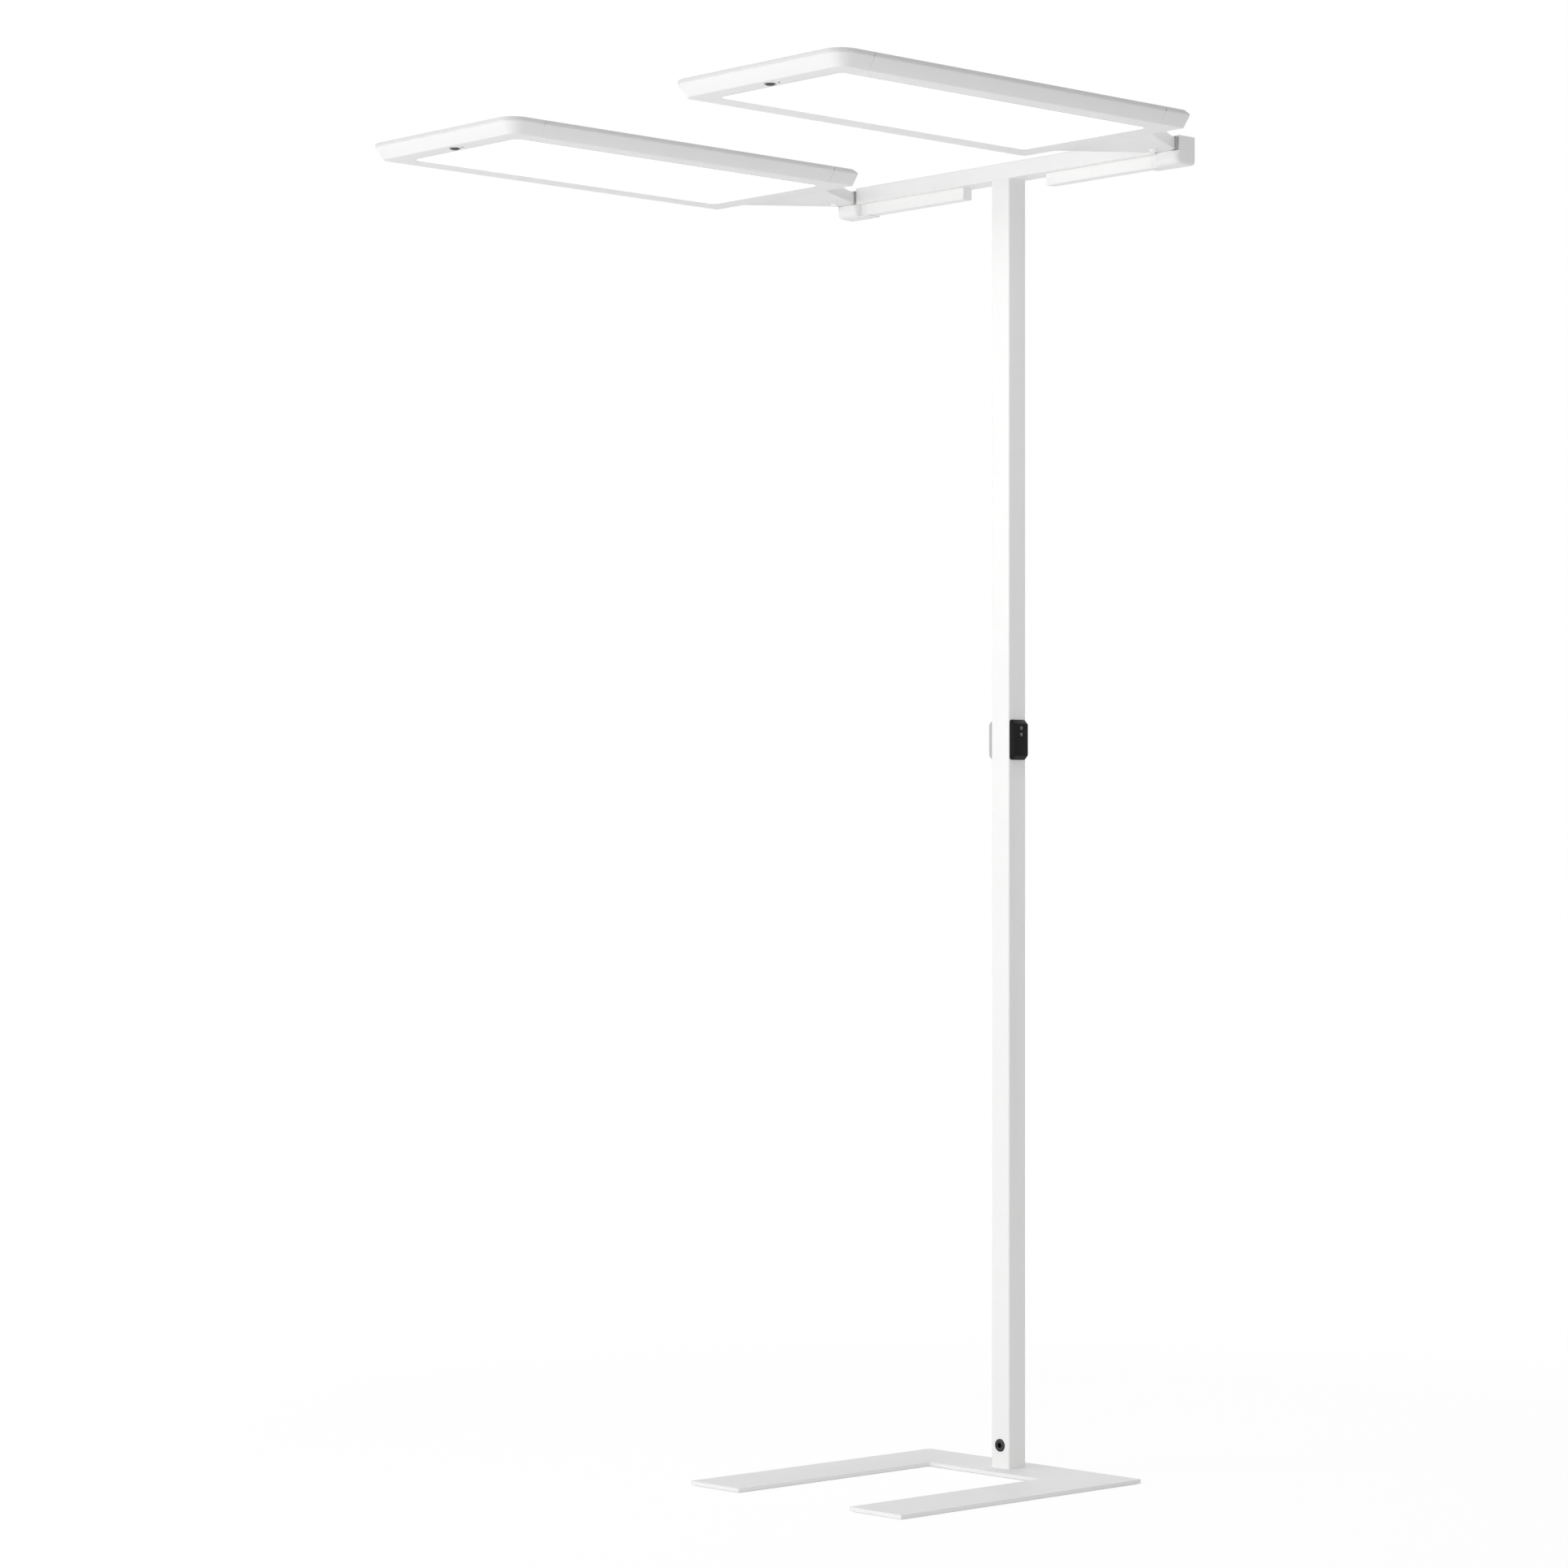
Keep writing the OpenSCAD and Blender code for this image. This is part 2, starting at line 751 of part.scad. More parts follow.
module rear_cap(s) {
    color("white") head_side(s) difference() {
        intersection() {
            head_body(0);
            cap_slice(head_rear - over, rear_seam);
        }
        intersection() {
            head_body(cap_wall);
            cap_slice(head_rear, rear_seam + over);
        }
        light_opening();
        cover_rebate(play);
    }
}

// The rail's extruded section: lip, leaning side, rim, diffuser seat and a closed chamber
module rail_section() {
    lean = side_lean / (lip_low - head_low);
    chamber_low = head_low + rail_wall;
    chamber_top = cover_low - rail_wall;
    difference() {
        polygon([[half_top, head_top], [half_top, lip_low], [half_low, head_low],
                 [open_half, head_low], [open_half, seat_top], [web_x, seat_top],
                 [web_x, cover_low], [cover_half + play, cover_low], [cover_half + play, head_top]]);
        polygon([[web_x + rail_wall, chamber_low],
                 [half_low - rail_wall + lean * rail_wall, chamber_low],
                 [half_top - rail_wall, lip_low],
                 [half_top - rail_wall, chamber_top],
                 [web_x + rail_wall, chamber_top]]);
    }
}

module rail() {
    color("white") translate([0, -rear_seam, 0]) along_front()
        linear_extrude(front_seam - rear_seam) rail_section();
}

module rail_outer(s) { head_side(s) rail(); }

module rail_inner(s) { head_side(s) mirror([1, 0, 0]) rail(); }

module top_cover(s) {
    color("white") head_side(s) difference() {
        translate([0, 0, cover_low]) linear_extrude(cover_t)
            head_plan(cover_inset, cover_inset, cover_inset,
                      front_r - cover_inset, rear_r - cover_inset);
        span([-uplight_w / 2, -uplight_front, cover_low - over],
             [uplight_w / 2, -uplight_rear, head_top + over]);
    }
}

module uplight_window(s) {
    half = uplight_w / 2 + uplight_lap;
    color("whitesmoke") head_side(s)
        span([-half, -uplight_front - uplight_lap, cover_low - uplight_t],
             [half, -uplight_rear + uplight_lap, cover_low]);
}

module reflector_plate(s) {
    color("white") head_side(s)
        span([-guide_half, -diffuser_front, guide_top],
             [guide_half, -diffuser_rear, guide_top + reflector_t]);
}

module uplight_board(s) {
    low = guide_top + reflector_t;
    color("white") head_side(s)
        span([-uplight_board_w / 2, -uplight_front, low],
             [uplight_board_w / 2, -uplight_rear, low + board_t]);
}

module light_guide(s) {
    color("lightcyan") head_side(s)
        span([-guide_half, -diffuser_front, guide_low], [guide_half, -diffuser_rear, guide_top]);
}

module led_bars(s) {
    color("khaki") head_side(s) for (x = [-1, 1])
        span([x > 0 ? web_x - play - led_bar_t : -web_x + play, -diffuser_front, guide_low],
             [x > 0 ? web_x - play : -web_x + play + led_bar_t, -diffuser_rear, guide_low + led_bar_h]);
}

module diffuser(s) {
    color("white") head_side(s)
        span([-web_x + play, -diffuser_front, seat_top], [web_x - play, -diffuser_rear, guide_low]);
}

// The presence sensor: a domed lens on a round body that stands in the front cap
module presence_sensor(s) {
    r = sensor_d / 2;
    dome_r = (r * r + sensor_proud * sensor_proud) / (2 * sensor_proud);
    color("black") head_side(s) sensor_place() {
        translate([0, 0, head_low]) cylinder(h = sensor_body_h, d = sensor_d);
        translate([0, 0, head_low]) rotate_extrude() intersection() {
            translate([0, dome_r - sensor_proud]) circle(dome_r, $fn = 128);
            translate([0, -sensor_proud]) square([r, sensor_proud + play]);
        }
    }
}

module daylight_sensor(s) {
    color("black") head_side(s) daylight_place(s)
        translate([0, 0, head_low - daylight_proud]) cylinder(h = daylight_h, d = daylight_d);
}

// ---------------------------------------------------------------- neck

neck_front = head_rear;
neck_back = pivot_y - neck_tail;
neck_low_back = arm_low + free;
tail_rise = 1;

// One cross section of the neck: a flat keel below and wings that rise to its sides
module neck_section(half, keel_half, low, rise, top) {
    polygon([[-half, top], [-half, low + rise], [-keel_half, low],
             [keel_half, low], [half, low + rise], [half, top]]);
}

module neck_block(inset) {
    hull() {
        translate([0, -neck_front + slice + inset / 4, 0]) along_front() linear_extrude(slice)
            neck_section(neck_w / 2 - inset, keel_w / 2, head_low + inset, wing_rise, head_top - inset);
        translate([0, -neck_back - inset, 0]) along_front() linear_extrude(slice)
            neck_section(neck_end_w / 2 - inset, neck_end_w / 2 - inset - tail_rise,
                         neck_low_back + inset, tail_rise, head_top - inset);
    }
}

washer_d = eye_d - 1;
slot_front = pivot_y + eye_d / 2 + 2;
slot_half = neck_end_w / 2 - neck_wall - 0.5;
web_front = slot_front + neck_wall;

// The neck: a cast wing, hollow in front, with the slot that holds the tongue behind
module neck(s) {
    color("white") head_side(s) difference() {
        neck_block(0);
        intersection() {
            neck_block(neck_wall);
            span([-neck_w, -neck_front - over, head_low - over], [neck_w, -web_front, head_top]);
        }
        span([-slot_half, -slot_front, slot_low], [slot_half, -neck_back + over, neck_in_top]);
        translate([0, -pivot_y, 0]) {
            translate([0, 0, head_low]) cylinder(h = head_t + over, d = pin_d + 2 * play);
            translate([0, 0, head_low - over])
                cylinder(h = cap_seat - head_low + over, d = cap_d + 2 * play);
        }
    }
}

module pivot_pin(s) {
    color("silver") head_side(s) translate([0, -pivot_y, cap_seat])
        cylinder(h = head_top - pin_end_gap - cap_seat, d = pin_d);
}

module pivot_washers(s) {
    color("ivory") head_side(s) for (low = [slot_low, tongue_high])
        translate([0, -pivot_y, low]) difference() {
            cylinder(h = washer_t, d = washer_d);
            translate([0, 0, -over]) cylinder(h = washer_t + 2 * over, d = pin_d + 2 * play);
        }
}

// The white button cap that hides the swivel pin from below
module pivot_cap(s) {
    cap_low = arm_low - cap_proud;
    color("white") head_side(s) translate([0, -pivot_y, cap_low]) {
        translate([0, 0, cap_edge]) cylinder(h = cap_seat - cap_low - cap_edge, d = cap_d);
        cylinder(h = cap_edge, d1 = cap_d - 2 * cap_edge, d2 = cap_d);
    }
}

// ---------------------------------------------------------------- the nodes

floor_mat();
base_plate();
base_screws();
post_foot_block();
post();
cable_gland();
gland_nut();
control_panel();
power_button();
dimmer_button();
control_board();
radio_module_cover();
post_head_block();
arm_bar();
arm_spacer();
arm_bolts();
end_block(-1);  // end_block_left
end_block(1);  // end_block_right
swivel_tongue(-1);  // swivel_tongue_left
swivel_tongue(1);  // swivel_tongue_right
gap_seal(-1);  // gap_seal_left
gap_seal(1);  // gap_seal_right
driver_housing(-1);  // driver_housing_left
driver_housing(1);  // driver_housing_right
led_driver(-1);  // led_driver_left
led_driver(1);  // led_driver_right
rail_inner(-1);  // rail_inner_left
rail_inner(1);  // rail_inner_right
rail_outer(-1);  // rail_outer_left
rail_outer(1);  // rail_outer_right
front_cap(-1);  // front_cap_left
front_cap(1);  // front_cap_right
rear_cap(-1);  // rear_cap_left
rear_cap(1);  // rear_cap_right
top_cover(-1);  // top_cover_left
top_cover(1);  // top_cover_right
uplight_window(-1);  // uplight_window_left
uplight_window(1);  // uplight_window_right
uplight_board(-1);  // uplight_board_left
uplight_board(1);  // uplight_board_right
reflector_plate(-1);  // reflector_plate_left
reflector_plate(1);  // reflector_plate_right
light_guide(-1);  // light_guide_left
light_guide(1);  // light_guide_right
led_bars(-1);  // led_bars_left
led_bars(1);  // led_bars_right
diffuser(-1);  // diffuser_left
diffuser(1);  // diffuser_right
presence_sensor(-1);  // presence_sensor_left
presence_sensor(1);  // presence_sensor_right
daylight_sensor(-1);  // daylight_sensor_left
daylight_sensor(1);  // daylight_sensor_right
neck(-1);  // neck_left
neck(1);  // neck_right
pivot_pin(-1);  // pivot_pin_left
pivot_pin(1);  // pivot_pin_right
pivot_washers(-1);  // pivot_washers_left
pivot_washers(1);  // pivot_washers_right
pivot_cap(-1);  // pivot_cap_left
pivot_cap(1);  // pivot_cap_right
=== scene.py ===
"""The finish of an office floor lamp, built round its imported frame.

Lengths are in metres. X runs across the lamp, the heads and the foot's legs point to -Y, Z is up.
The frame's own pieces stay where they are. Pieces that show get rounded edges and fine detail here.
"""

import json
import math

import bmesh
import bpy
from bpy.props import FloatProperty, FloatVectorProperty, IntProperty, PointerProperty
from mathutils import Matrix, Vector

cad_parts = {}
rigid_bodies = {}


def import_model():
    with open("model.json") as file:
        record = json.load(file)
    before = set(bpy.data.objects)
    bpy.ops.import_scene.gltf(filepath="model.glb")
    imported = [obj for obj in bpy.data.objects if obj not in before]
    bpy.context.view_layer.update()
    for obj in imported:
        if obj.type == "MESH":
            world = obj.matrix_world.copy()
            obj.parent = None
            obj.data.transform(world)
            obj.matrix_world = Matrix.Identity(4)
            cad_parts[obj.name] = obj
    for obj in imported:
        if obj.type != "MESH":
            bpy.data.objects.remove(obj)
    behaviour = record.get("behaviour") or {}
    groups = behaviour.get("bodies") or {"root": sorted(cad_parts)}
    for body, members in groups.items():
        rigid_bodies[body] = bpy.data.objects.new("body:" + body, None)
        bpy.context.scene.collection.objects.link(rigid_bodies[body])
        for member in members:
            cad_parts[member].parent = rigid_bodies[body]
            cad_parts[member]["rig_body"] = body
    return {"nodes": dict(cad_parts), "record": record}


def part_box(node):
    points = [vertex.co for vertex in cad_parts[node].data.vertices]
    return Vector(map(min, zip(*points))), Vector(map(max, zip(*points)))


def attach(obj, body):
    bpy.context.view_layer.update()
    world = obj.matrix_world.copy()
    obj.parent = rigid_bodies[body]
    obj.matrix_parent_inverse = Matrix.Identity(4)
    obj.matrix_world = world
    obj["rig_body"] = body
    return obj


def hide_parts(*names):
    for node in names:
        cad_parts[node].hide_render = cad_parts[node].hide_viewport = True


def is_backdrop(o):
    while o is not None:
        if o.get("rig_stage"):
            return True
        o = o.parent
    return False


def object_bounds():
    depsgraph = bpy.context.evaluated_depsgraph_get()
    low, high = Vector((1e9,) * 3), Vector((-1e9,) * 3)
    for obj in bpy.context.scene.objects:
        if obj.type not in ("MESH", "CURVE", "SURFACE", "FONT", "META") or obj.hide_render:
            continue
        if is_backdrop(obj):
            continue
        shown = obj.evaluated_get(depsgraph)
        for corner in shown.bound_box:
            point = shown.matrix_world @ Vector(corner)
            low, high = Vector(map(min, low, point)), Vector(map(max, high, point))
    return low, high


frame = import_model()

bl_info = {
    "name": "Office floor lamp",
    "version": (1, 0, 0),
    "blender": (4, 5, 0),
    "location": "3D View > Sidebar > Lamp",
    "description": "Finishes an office floor lamp round its packed frame",
    "category": "Add Mesh",
}

NODES = frame["nodes"]
CAD_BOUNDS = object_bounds()
SIDES = {"left": -1, "right": 1}
MM = 0.001
HALF_TURN = math.pi
QUARTER_TURN = math.pi / 2


# ---------------------------------------------------------------- settings

def colour(name, description, default):
    """A colour that the user can change"""
    return FloatVectorProperty(name=name, description=description, subtype="COLOR", size=3,
                               min=0, max=1, default=default)


def length(name, description, low, high, default):
    """A length that the user can change, with its limits and its default in millimetres"""
    return FloatProperty(name=name, description=description, unit="LENGTH",
                         min=low * MM, max=high * MM, default=default * MM)


def power(name, description, default):
    """A light's power that the user can change, in watts"""
    return FloatProperty(name=name, description=description, unit="POWER", min=0, max=1000,
                         default=default)


class LampFinish(bpy.types.PropertyGroup):
    """Colours of the lamp's coats and mouldings"""

    coat: colour("Powder coat", "Colour of the painted foot, post and arm", (0.93, 0.93, 0.926))
    head: colour("Heads", "Colour of the heads' rails, end caps, covers and necks",
        (0.89, 0.89, 0.888))
    moulding: colour("White mouldings", "Colour of the driver housings and the swivels' caps",
        (0.965, 0.965, 0.96))
    # the head's lip colour is painted shade: the heads' white, darkened for the shade that the
    # upright edge takes
    lip: colour("Head's lip", "Colour of the upright edge round a head's top", (0.75, 0.75, 0.75))
    control: colour("Control unit", "Colour of the control unit's moulding",
        (0.009, 0.009, 0.0095))
    sign: colour("Signs", "Colour of the signs on the two buttons", (0.30, 0.30, 0.31))
    glow: FloatProperty(name="Glow", description="Brightness of the lit faces, where 1 is white",
                        min=0, max=4, default=1.5)


class LampShape(bpy.types.PropertyGroup):
    """Sizes of the details that the frame leaves to the finish"""

    edge: length("Edge radius", "Radius of the metal pieces' edges", 0, 3, 0.7)
    lip_height: length("Lip height", "Height of the upright edge round a head's top", 1, 10, 5)
    side_lean: length("Side lean", "How far a head's sides lean in towards its underside",
        0, 30, 11.5)
    front_lean: length("Front lean", "How far a head's front leans in towards its underside",
        0, 30, 13)
    front_radius: length("Front corner", "Radius of a head's front corners at its lip",
        15, 100, 27)
    rear_radius: length("Rear corner", "Radius of a head's rear corners", 2, 20, 3)
    rear_reach: length("Rear reach", "How far the rear end's widest line stands out over the neck",
        0, 4, 3)
    rear_slope: length("Rear slope", "How far the rear end's top edge is drawn forward", 0, 20, 12)
    face_radius: length("Face corner", "Radius of the luminous face's corners", 1, 9, 8)
    groove: length("Groove", "Height of the groove under a head's lip", 0, 2, 0.8)
    seam: length("Seam", "Half the width of the seam between a rail and an end cap", 0, 2, 0.5)
    seam_depth: length("Seam depth", "Depth of the seam between a rail and an end cap", 0, 1, 0.7)
    neck_width: length("Neck width", "Width of a neck where it leaves its head", 100, 220, 188)
    neck_hollow: length("Neck hollow", "Depth of the hollow in a neck's underside, at its head",
        0, 16, 14)
    ledge: length("Ledge", "Length of the ledge that carries a driver housing", 15, 40, 21)
    block_trim: length("Block trim", "What the finish takes off an end block's top and its foot",
        0, 3, 2.5)
    cover_screws: IntProperty(
        name="Cover screws", description="Screws along each side of a head's top cover",
        min=2, max=8, default=4)
    led_rows: IntProperty(
        name="LED rows", description="Rows of light emitters on the board of the indirect light",
        min=1, max=6, default=3)
    led_pitch: length("LED pitch", "Distance between light emitters in a row", 4, 50, 12)


class LampStage(bpy.types.PropertyGroup):
    """The floor, the lights and the camera"""

    floor: colour("Floor", "Colour of the floor", (0.97, 0.97, 0.97))
    sky: FloatProperty(name="Room light", description="Level of the even light from all round",
                       min=0, max=2, default=0.54)
    key: power("Key light", "Power of the large light high in front, to the left", 27)
    front: power("Front light", "Power of the light level with the lamp's middle", 48)
    low: power("Low light", "Power of the light near the floor that reaches the undersides", 40)
    back: power("Back light", "Power of the light behind the lamp", 30)
    azimuth: FloatProperty(
        name="Azimuth", description="Direction that the camera looks from, round the lamp",
        subtype="ANGLE", default=math.radians(47.08))
    eye_height: FloatProperty(name="Eye height", description="Height of the camera above the floor",
                              unit="LENGTH", default=904.4 * MM)


def settings():
    """The three groups of settings: finish, shape and stage"""
    scene = bpy.context.scene
    return scene.lamp_finish, scene.lamp_shape, scene.lamp_stage


# ---------------------------------------------------------------- materials

def feed(tree, node, **inputs):
    """Gives inputs a constant, a link from a socket, or a link from a node's first output"""
    for name, value in inputs.items():
        socket = node.inputs[int(name[1:]) if name[0] == "_" else name.replace("_", " ")]
        if isinstance(value, bpy.types.Node):
            value = value.outputs[0]
        if isinstance(value, bpy.types.NodeSocket):
            tree.links.new(value, socket)
        else:
            socket.default_value = value


def add(tree, kind, choices=None, **inputs):
    """A tree's new node; inputs that share a name are given by their number, such as _0"""
    node = tree.nodes.new(kind)
    for name, value in (choices or {}).items():
        setattr(node, name, value)
    feed(tree, node, **inputs)
    return node


def pattern(kind, output, stretch=None, choices=None, **inputs):
    """What makes a texture from an object's coordinates, in a tree given later"""
    def make(tree, place):
        if stretch:
            place = add(tree, "ShaderNodeMapping", Scale=stretch, Vector=place)
        return add(tree, kind, choices, Vector=place, **inputs).outputs[output]
    return make


def noise(size, detail=2.0, stretch=None):
    """Soft grain whose features are about size millimetres across"""
    return pattern("ShaderNodeTexNoise", "Fac", stretch, Scale=1 / (size * MM), Detail=detail)


def cells(size, feature="F1"):
    """Round cells about size millimetres apart"""
    return pattern("ShaderNodeTexVoronoi", "Distance", None, {"feature": feature},
                   Scale=1 / (size * MM))


def pebbles(size):
    """Cells about size millimetres apart that run into each other softly, as on a moulding"""
    return cells(size, "SMOOTH_F1")


def bands(pitch, axis, waviness=0.0):
    """Parallel lines, pitch millimetres apart, across an axis"""
    waves_per_unit = 0.314
    return pattern("ShaderNodeTexWave", "Fac", None, {"bands_direction": axis},
                   Scale=waves_per_unit / (pitch * MM), Distortion=waviness)


def look(colour, roughness, tint, sheen, *bumps, metallic=0.0, glow=None, **constants):
    """A row of FINISHES.

    colour is a colour or the name of a setting. tint is a pattern and the shares of the colour
    that it runs between, with the pattern's values there if they aren't 0.3 and 0.7. sheen is a
    pattern and the roughness that it runs between. Each bump is a pattern and its depth in
    millimetres. glow is the colour of the light given off and its share of the glow setting.
    The constants go to the shader's own sockets.
    """
    return colour, roughness, tint, sheen, bumps, metallic, glow, constants


def powder(colour):
    """Powder coat: a fine orange peel, with sheen that wanders a little"""
    return look(colour, 0.46, (noise(90, 3), 0.985, 1.0), (noise(30), 0.42, 0.52),
                (noise(0.9), 0.03), (cells(0.35), 0.008), Specular_IOR_Level=0.45)


TRACKS = pattern("ShaderNodeTexBrick", "Fac", Scale=420, Mortar_Size=0.05)
BOARD_LINES = bands(6, "X")
GUIDE_DOTS = cells(2.5)
DRAWN_LINES = noise(1, 3, stretch=(0.02, 1, 1))
FINISHES = {
    # the stand's white powder coat, and the heads', which is a shade deeper
    "powder_coat": powder("coat"),
    "head_coat": powder("head"),
    # the upright edge round a head's top: the heads' white darkened a tone as painted shade, satin,
    # with fine lines along it
    "lip_coat": look("lip", 0.36, (noise(50), 0.96, 1.0), (noise(8, 3), 0.3, 0.42),
        (bands(0.3, "Z", 0.4), 0.004), Specular_IOR_Level=0.5),
    # white moulding with the fine spark grain of its mould
    "white_moulding": look("moulding", 0.5, (noise(60), 0.988, 1.0), (noise(4), 0.46, 0.56),
        (pebbles(0.5), 0.02), Specular_IOR_Level=0.4),
    # the swivel caps' polished white moulding
    "cap_moulding": look("moulding", 0.36, (noise(10), 0.985, 1.0), (noise(10), 0.32, 0.4)),
    # the light grey cover on the post's left side
    "grey_moulding": look((0.52, 0.52, 0.52), 0.5, (noise(20), 0.97, 1.0), (noise(3), 0.44, 0.56),
        (pebbles(0.45), 0.02)),
    # the control unit's black moulding: satin, with a leather-fine grain
    "black_moulding": look("control", 0.4, (noise(10, 4), 0.85, 1.15), (noise(2, 3), 0.34, 0.48),
        (pebbles(0.4), 0.02), Specular_IOR_Level=0.09),
    # the push buttons' satin dark grey caps
    "button_moulding": look((0.022, 0.022, 0.024), 0.32, (noise(4, 3), 0.9, 1.1),
        (noise(1.5), 0.26, 0.38), (noise(0.3), 0.01)),
    # the grey print of the signs on the buttons
    "sign_print": look("sign", 0.55, (noise(0.6, 3), 0.9, 1.0), None, (noise(0.2), 0.01)),
    # black plastic of the cable outlet
    "outlet_black": look((0.008, 0.008, 0.008), 0.45, None, (noise(2, 3), 0.38, 0.55),
        (pebbles(0.5), 0.02)),
    # the sensors' dark lens, glossy with a faint depth
    "sensor_lens": look((0.006, 0.006, 0.007), 0.16, None, (noise(3, 3), 0.12, 0.24),
        (noise(1.2), 0.006), Coat_Weight=0.5, Coat_Roughness=0.08),
    # the black rubber under the foot, dull and a little dusty
    "floor_rubber": look((0.035, 0.035, 0.035), 0.85, (noise(20, 5), 0.8, 1.5),
        (noise(6), 0.78, 0.95), (noise(0.7, 3), 0.06)),
    # the dull mid grey of the seal in the gap behind each neck: painted shade, standing in for the
    # shade deep in that gap
    "gap_rubber": look((0.5, 0.5, 0.5), 0.8, (noise(4, 4), 0.85, 1.1), (noise(2), 0.74, 0.9),
        (noise(0.5, 3), 0.05)),
    # the luminous face: opal, satin outside, lit evenly from behind
    "opal_face": look((0.92, 0.92, 0.915), 0.38, (noise(120), 0.99, 1.0), (noise(2), 0.34, 0.44),
        (pebbles(0.8), 0.02), glow=((1.0, 1.0, 0.995, 1), 1.0), Specular_IOR_Level=0.35),
    # the indirect light's ribbed window: clear and satin, so that the emitters show as soft lines
    "prism_window": look((0.93, 0.94, 0.95), 0.3, None, (noise(4), 0.24, 0.36), (noise(0.6), 0.01),
        Transmission_Weight=0.7, IOR=1.45),
    # the clear light guide, with the dots that turn its light downwards
    "light_guide_clear": look((0.95, 0.97, 0.98), 0.08, None, (GUIDE_DOTS, 0.5, 0.06),
        (GUIDE_DOTS, 0.02), Transmission_Weight=0.9, IOR=1.49),
    # bright zinc plating with a fine, cloudy crystal pattern
    "zinc_steel": look((0.62, 0.63, 0.65), 0.32, (noise(2.5, 4), 0.86, 1.08),
        (noise(1, 4), 0.24, 0.42), (noise(0.3, 3), 0.01), metallic=1.0),
    # sawn and milled aluminium, with the tool's lines across it
    "sawn_aluminium": look((0.74, 0.75, 0.77), 0.38, (noise(10, 4), 0.92, 1.04),
        (noise(2, 4), 0.3, 0.48), (bands(0.4, "Z", 1.5), 0.012), metallic=1.0),
    # the drivers' drawn aluminium case, with long drawing lines
    "drawn_case": look((0.70, 0.71, 0.72), 0.4, (DRAWN_LINES, 0.9, 1.04), (DRAWN_LINES, 0.34, 0.5),
        (DRAWN_LINES, 0.01), metallic=1.0),
    # the tongues' grey coated casting; its mid grey, seen through the gap behind each neck, is also
    # painted shade there
    "cast_grey": look((0.5, 0.5, 0.5), 0.55, (noise(3, 4), 0.85, 1.1), (noise(2), 0.48, 0.65),
        (noise(0.8, 4), 0.06)),
    # the control board: green solder mask over square tracks
    "board_green": look((0.02, 0.13, 0.05), 0.35, (TRACKS, 1.0, 2.2, 0.2, 0.8), None,
        (TRACKS, 0.03)),
    # the light boards' white solder mask, with faint tracks under it
    "board_white": look((0.86, 0.86, 0.83), 0.45, (BOARD_LINES, 0.94, 1.0, 0.05, 0.2), None,
        (BOARD_LINES, 0.02)),
    # the reflector plate's dull white foam film
    "reflector_white": look((0.95, 0.95, 0.95), 0.9, (noise(10, 3), 0.98, 1.0), None,
        (noise(0.4, 3), 0.02)),
    # a light emitter's lit yellow phosphor
    "emitter_glow": look((0.95, 0.82, 0.35), 0.4, (noise(0.5), 0.95, 1.0), None,
        glow=((1.0, 0.95, 0.82, 1), 1.5)),
    # the washers' self-lubricating ivory plastic
    "washer_ivory": look((0.72, 0.68, 0.55), 0.4, (noise(3, 4), 0.92, 1.04), None,
        (noise(0.4), 0.02)),
}


def make_material(name, colour, roughness, tint, sheen, bumps, metallic, glow, constants):
    """The material that a row of FINISHES describes"""
    given = settings()[0]
    colour = getattr(given, colour)[:] if isinstance(colour, str) else colour
    material = bpy.data.materials.new(name)
    material.use_nodes = True
    material.diffuse_color = (*colour, 1)
    tree = material.node_tree
    shader = tree.nodes["Principled BSDF"]
    place = add(tree, "ShaderNodeTexCoord").outputs["Object"]
    feed(tree, shader, Base_Color=(*colour, 1), Roughness=roughness, Metallic=metallic, **constants)
    if glow:
        feed(tree, shader, Emission_Color=glow[0], Emission_Strength=given.glow * glow[1])
    if tint:
        texture, low, high, *span = tint
        ramp = add(tree, "ShaderNodeValToRGB", Fac=texture(tree, place))
        for stop, share, at in zip(ramp.color_ramp.elements, (low, high), span or (0.3, 0.7)):
            stop.position = at
            stop.color = (*[min(1.0, c * share) for c in colour], 1)
        feed(tree, shader, Base_Color=ramp)
    if sheen:
        texture, low, high = sheen
        feed(tree, shader, Roughness=add(tree, "ShaderNodeMapRange", Value=texture(tree, place),
                                         From_Min=0.3, From_Max=0.7, To_Min=low, To_Max=high))
    below = {}
    for texture, depth in bumps:
        below["Normal"] = add(tree, "ShaderNodeBump", Strength=1.0, Distance=depth * MM,
                              Height=texture(tree, place), **below)
        feed(tree, shader, **below)
    return material


def finish(name):
    """The material of that name, made when it is first asked for"""
    return bpy.data.materials.get(name) or make_material(name, *FINISHES[name])


# ---------------------------------------------------------------- making meshes

def body_of(node):
    """The body that a node of the frame rides on"""
    return NODES[node]["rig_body"]


def slot_of(node):
    """The material slot that the record gives a node"""
    return next(p["material_slot"] for p in frame["record"]["subparts"] if p["node"] == node)


def dress(piece, node, *replaced):
    """Lets a finished piece ride with a node, and stand for the nodes named"""
    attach(piece, body_of(node))
    slot_of(node)
    if replaced:
        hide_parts(*replaced)
    return piece


def stand_in(piece, node):
    """Lets a finished piece ride with a node and stand for it"""
    return dress(piece, node, node)


def middle(node, z=0):
    """The middle of a node in plan, and the radius that its width gives"""
    low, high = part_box(node)
    return ((low.x + high.x) / 2, (low.y + high.y) / 2, z), (high.x - low.x) / 2


def reach(node):
    """A node's nearest and farthest distance from the lamp's middle, in X"""
    return sorted(abs(corner.x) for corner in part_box(node))


def dome(flat, radius, bottom, height, steps=8):
    """Profile points of a dome's quarter round, from its flat middle out to its rim"""
    return [(flat + (radius - flat) * math.sin(a), bottom + height * (1 - math.cos(a)))
            for a in (QUARTER_TURN * k / steps for k in range(1, steps + 1))]


def recoat(name, *nodes):
    """Gives nodes of the frame that stay their finish"""
    for node in nodes:
        NODES[node].data.materials.clear()
        NODES[node].data.materials.append(finish(name))


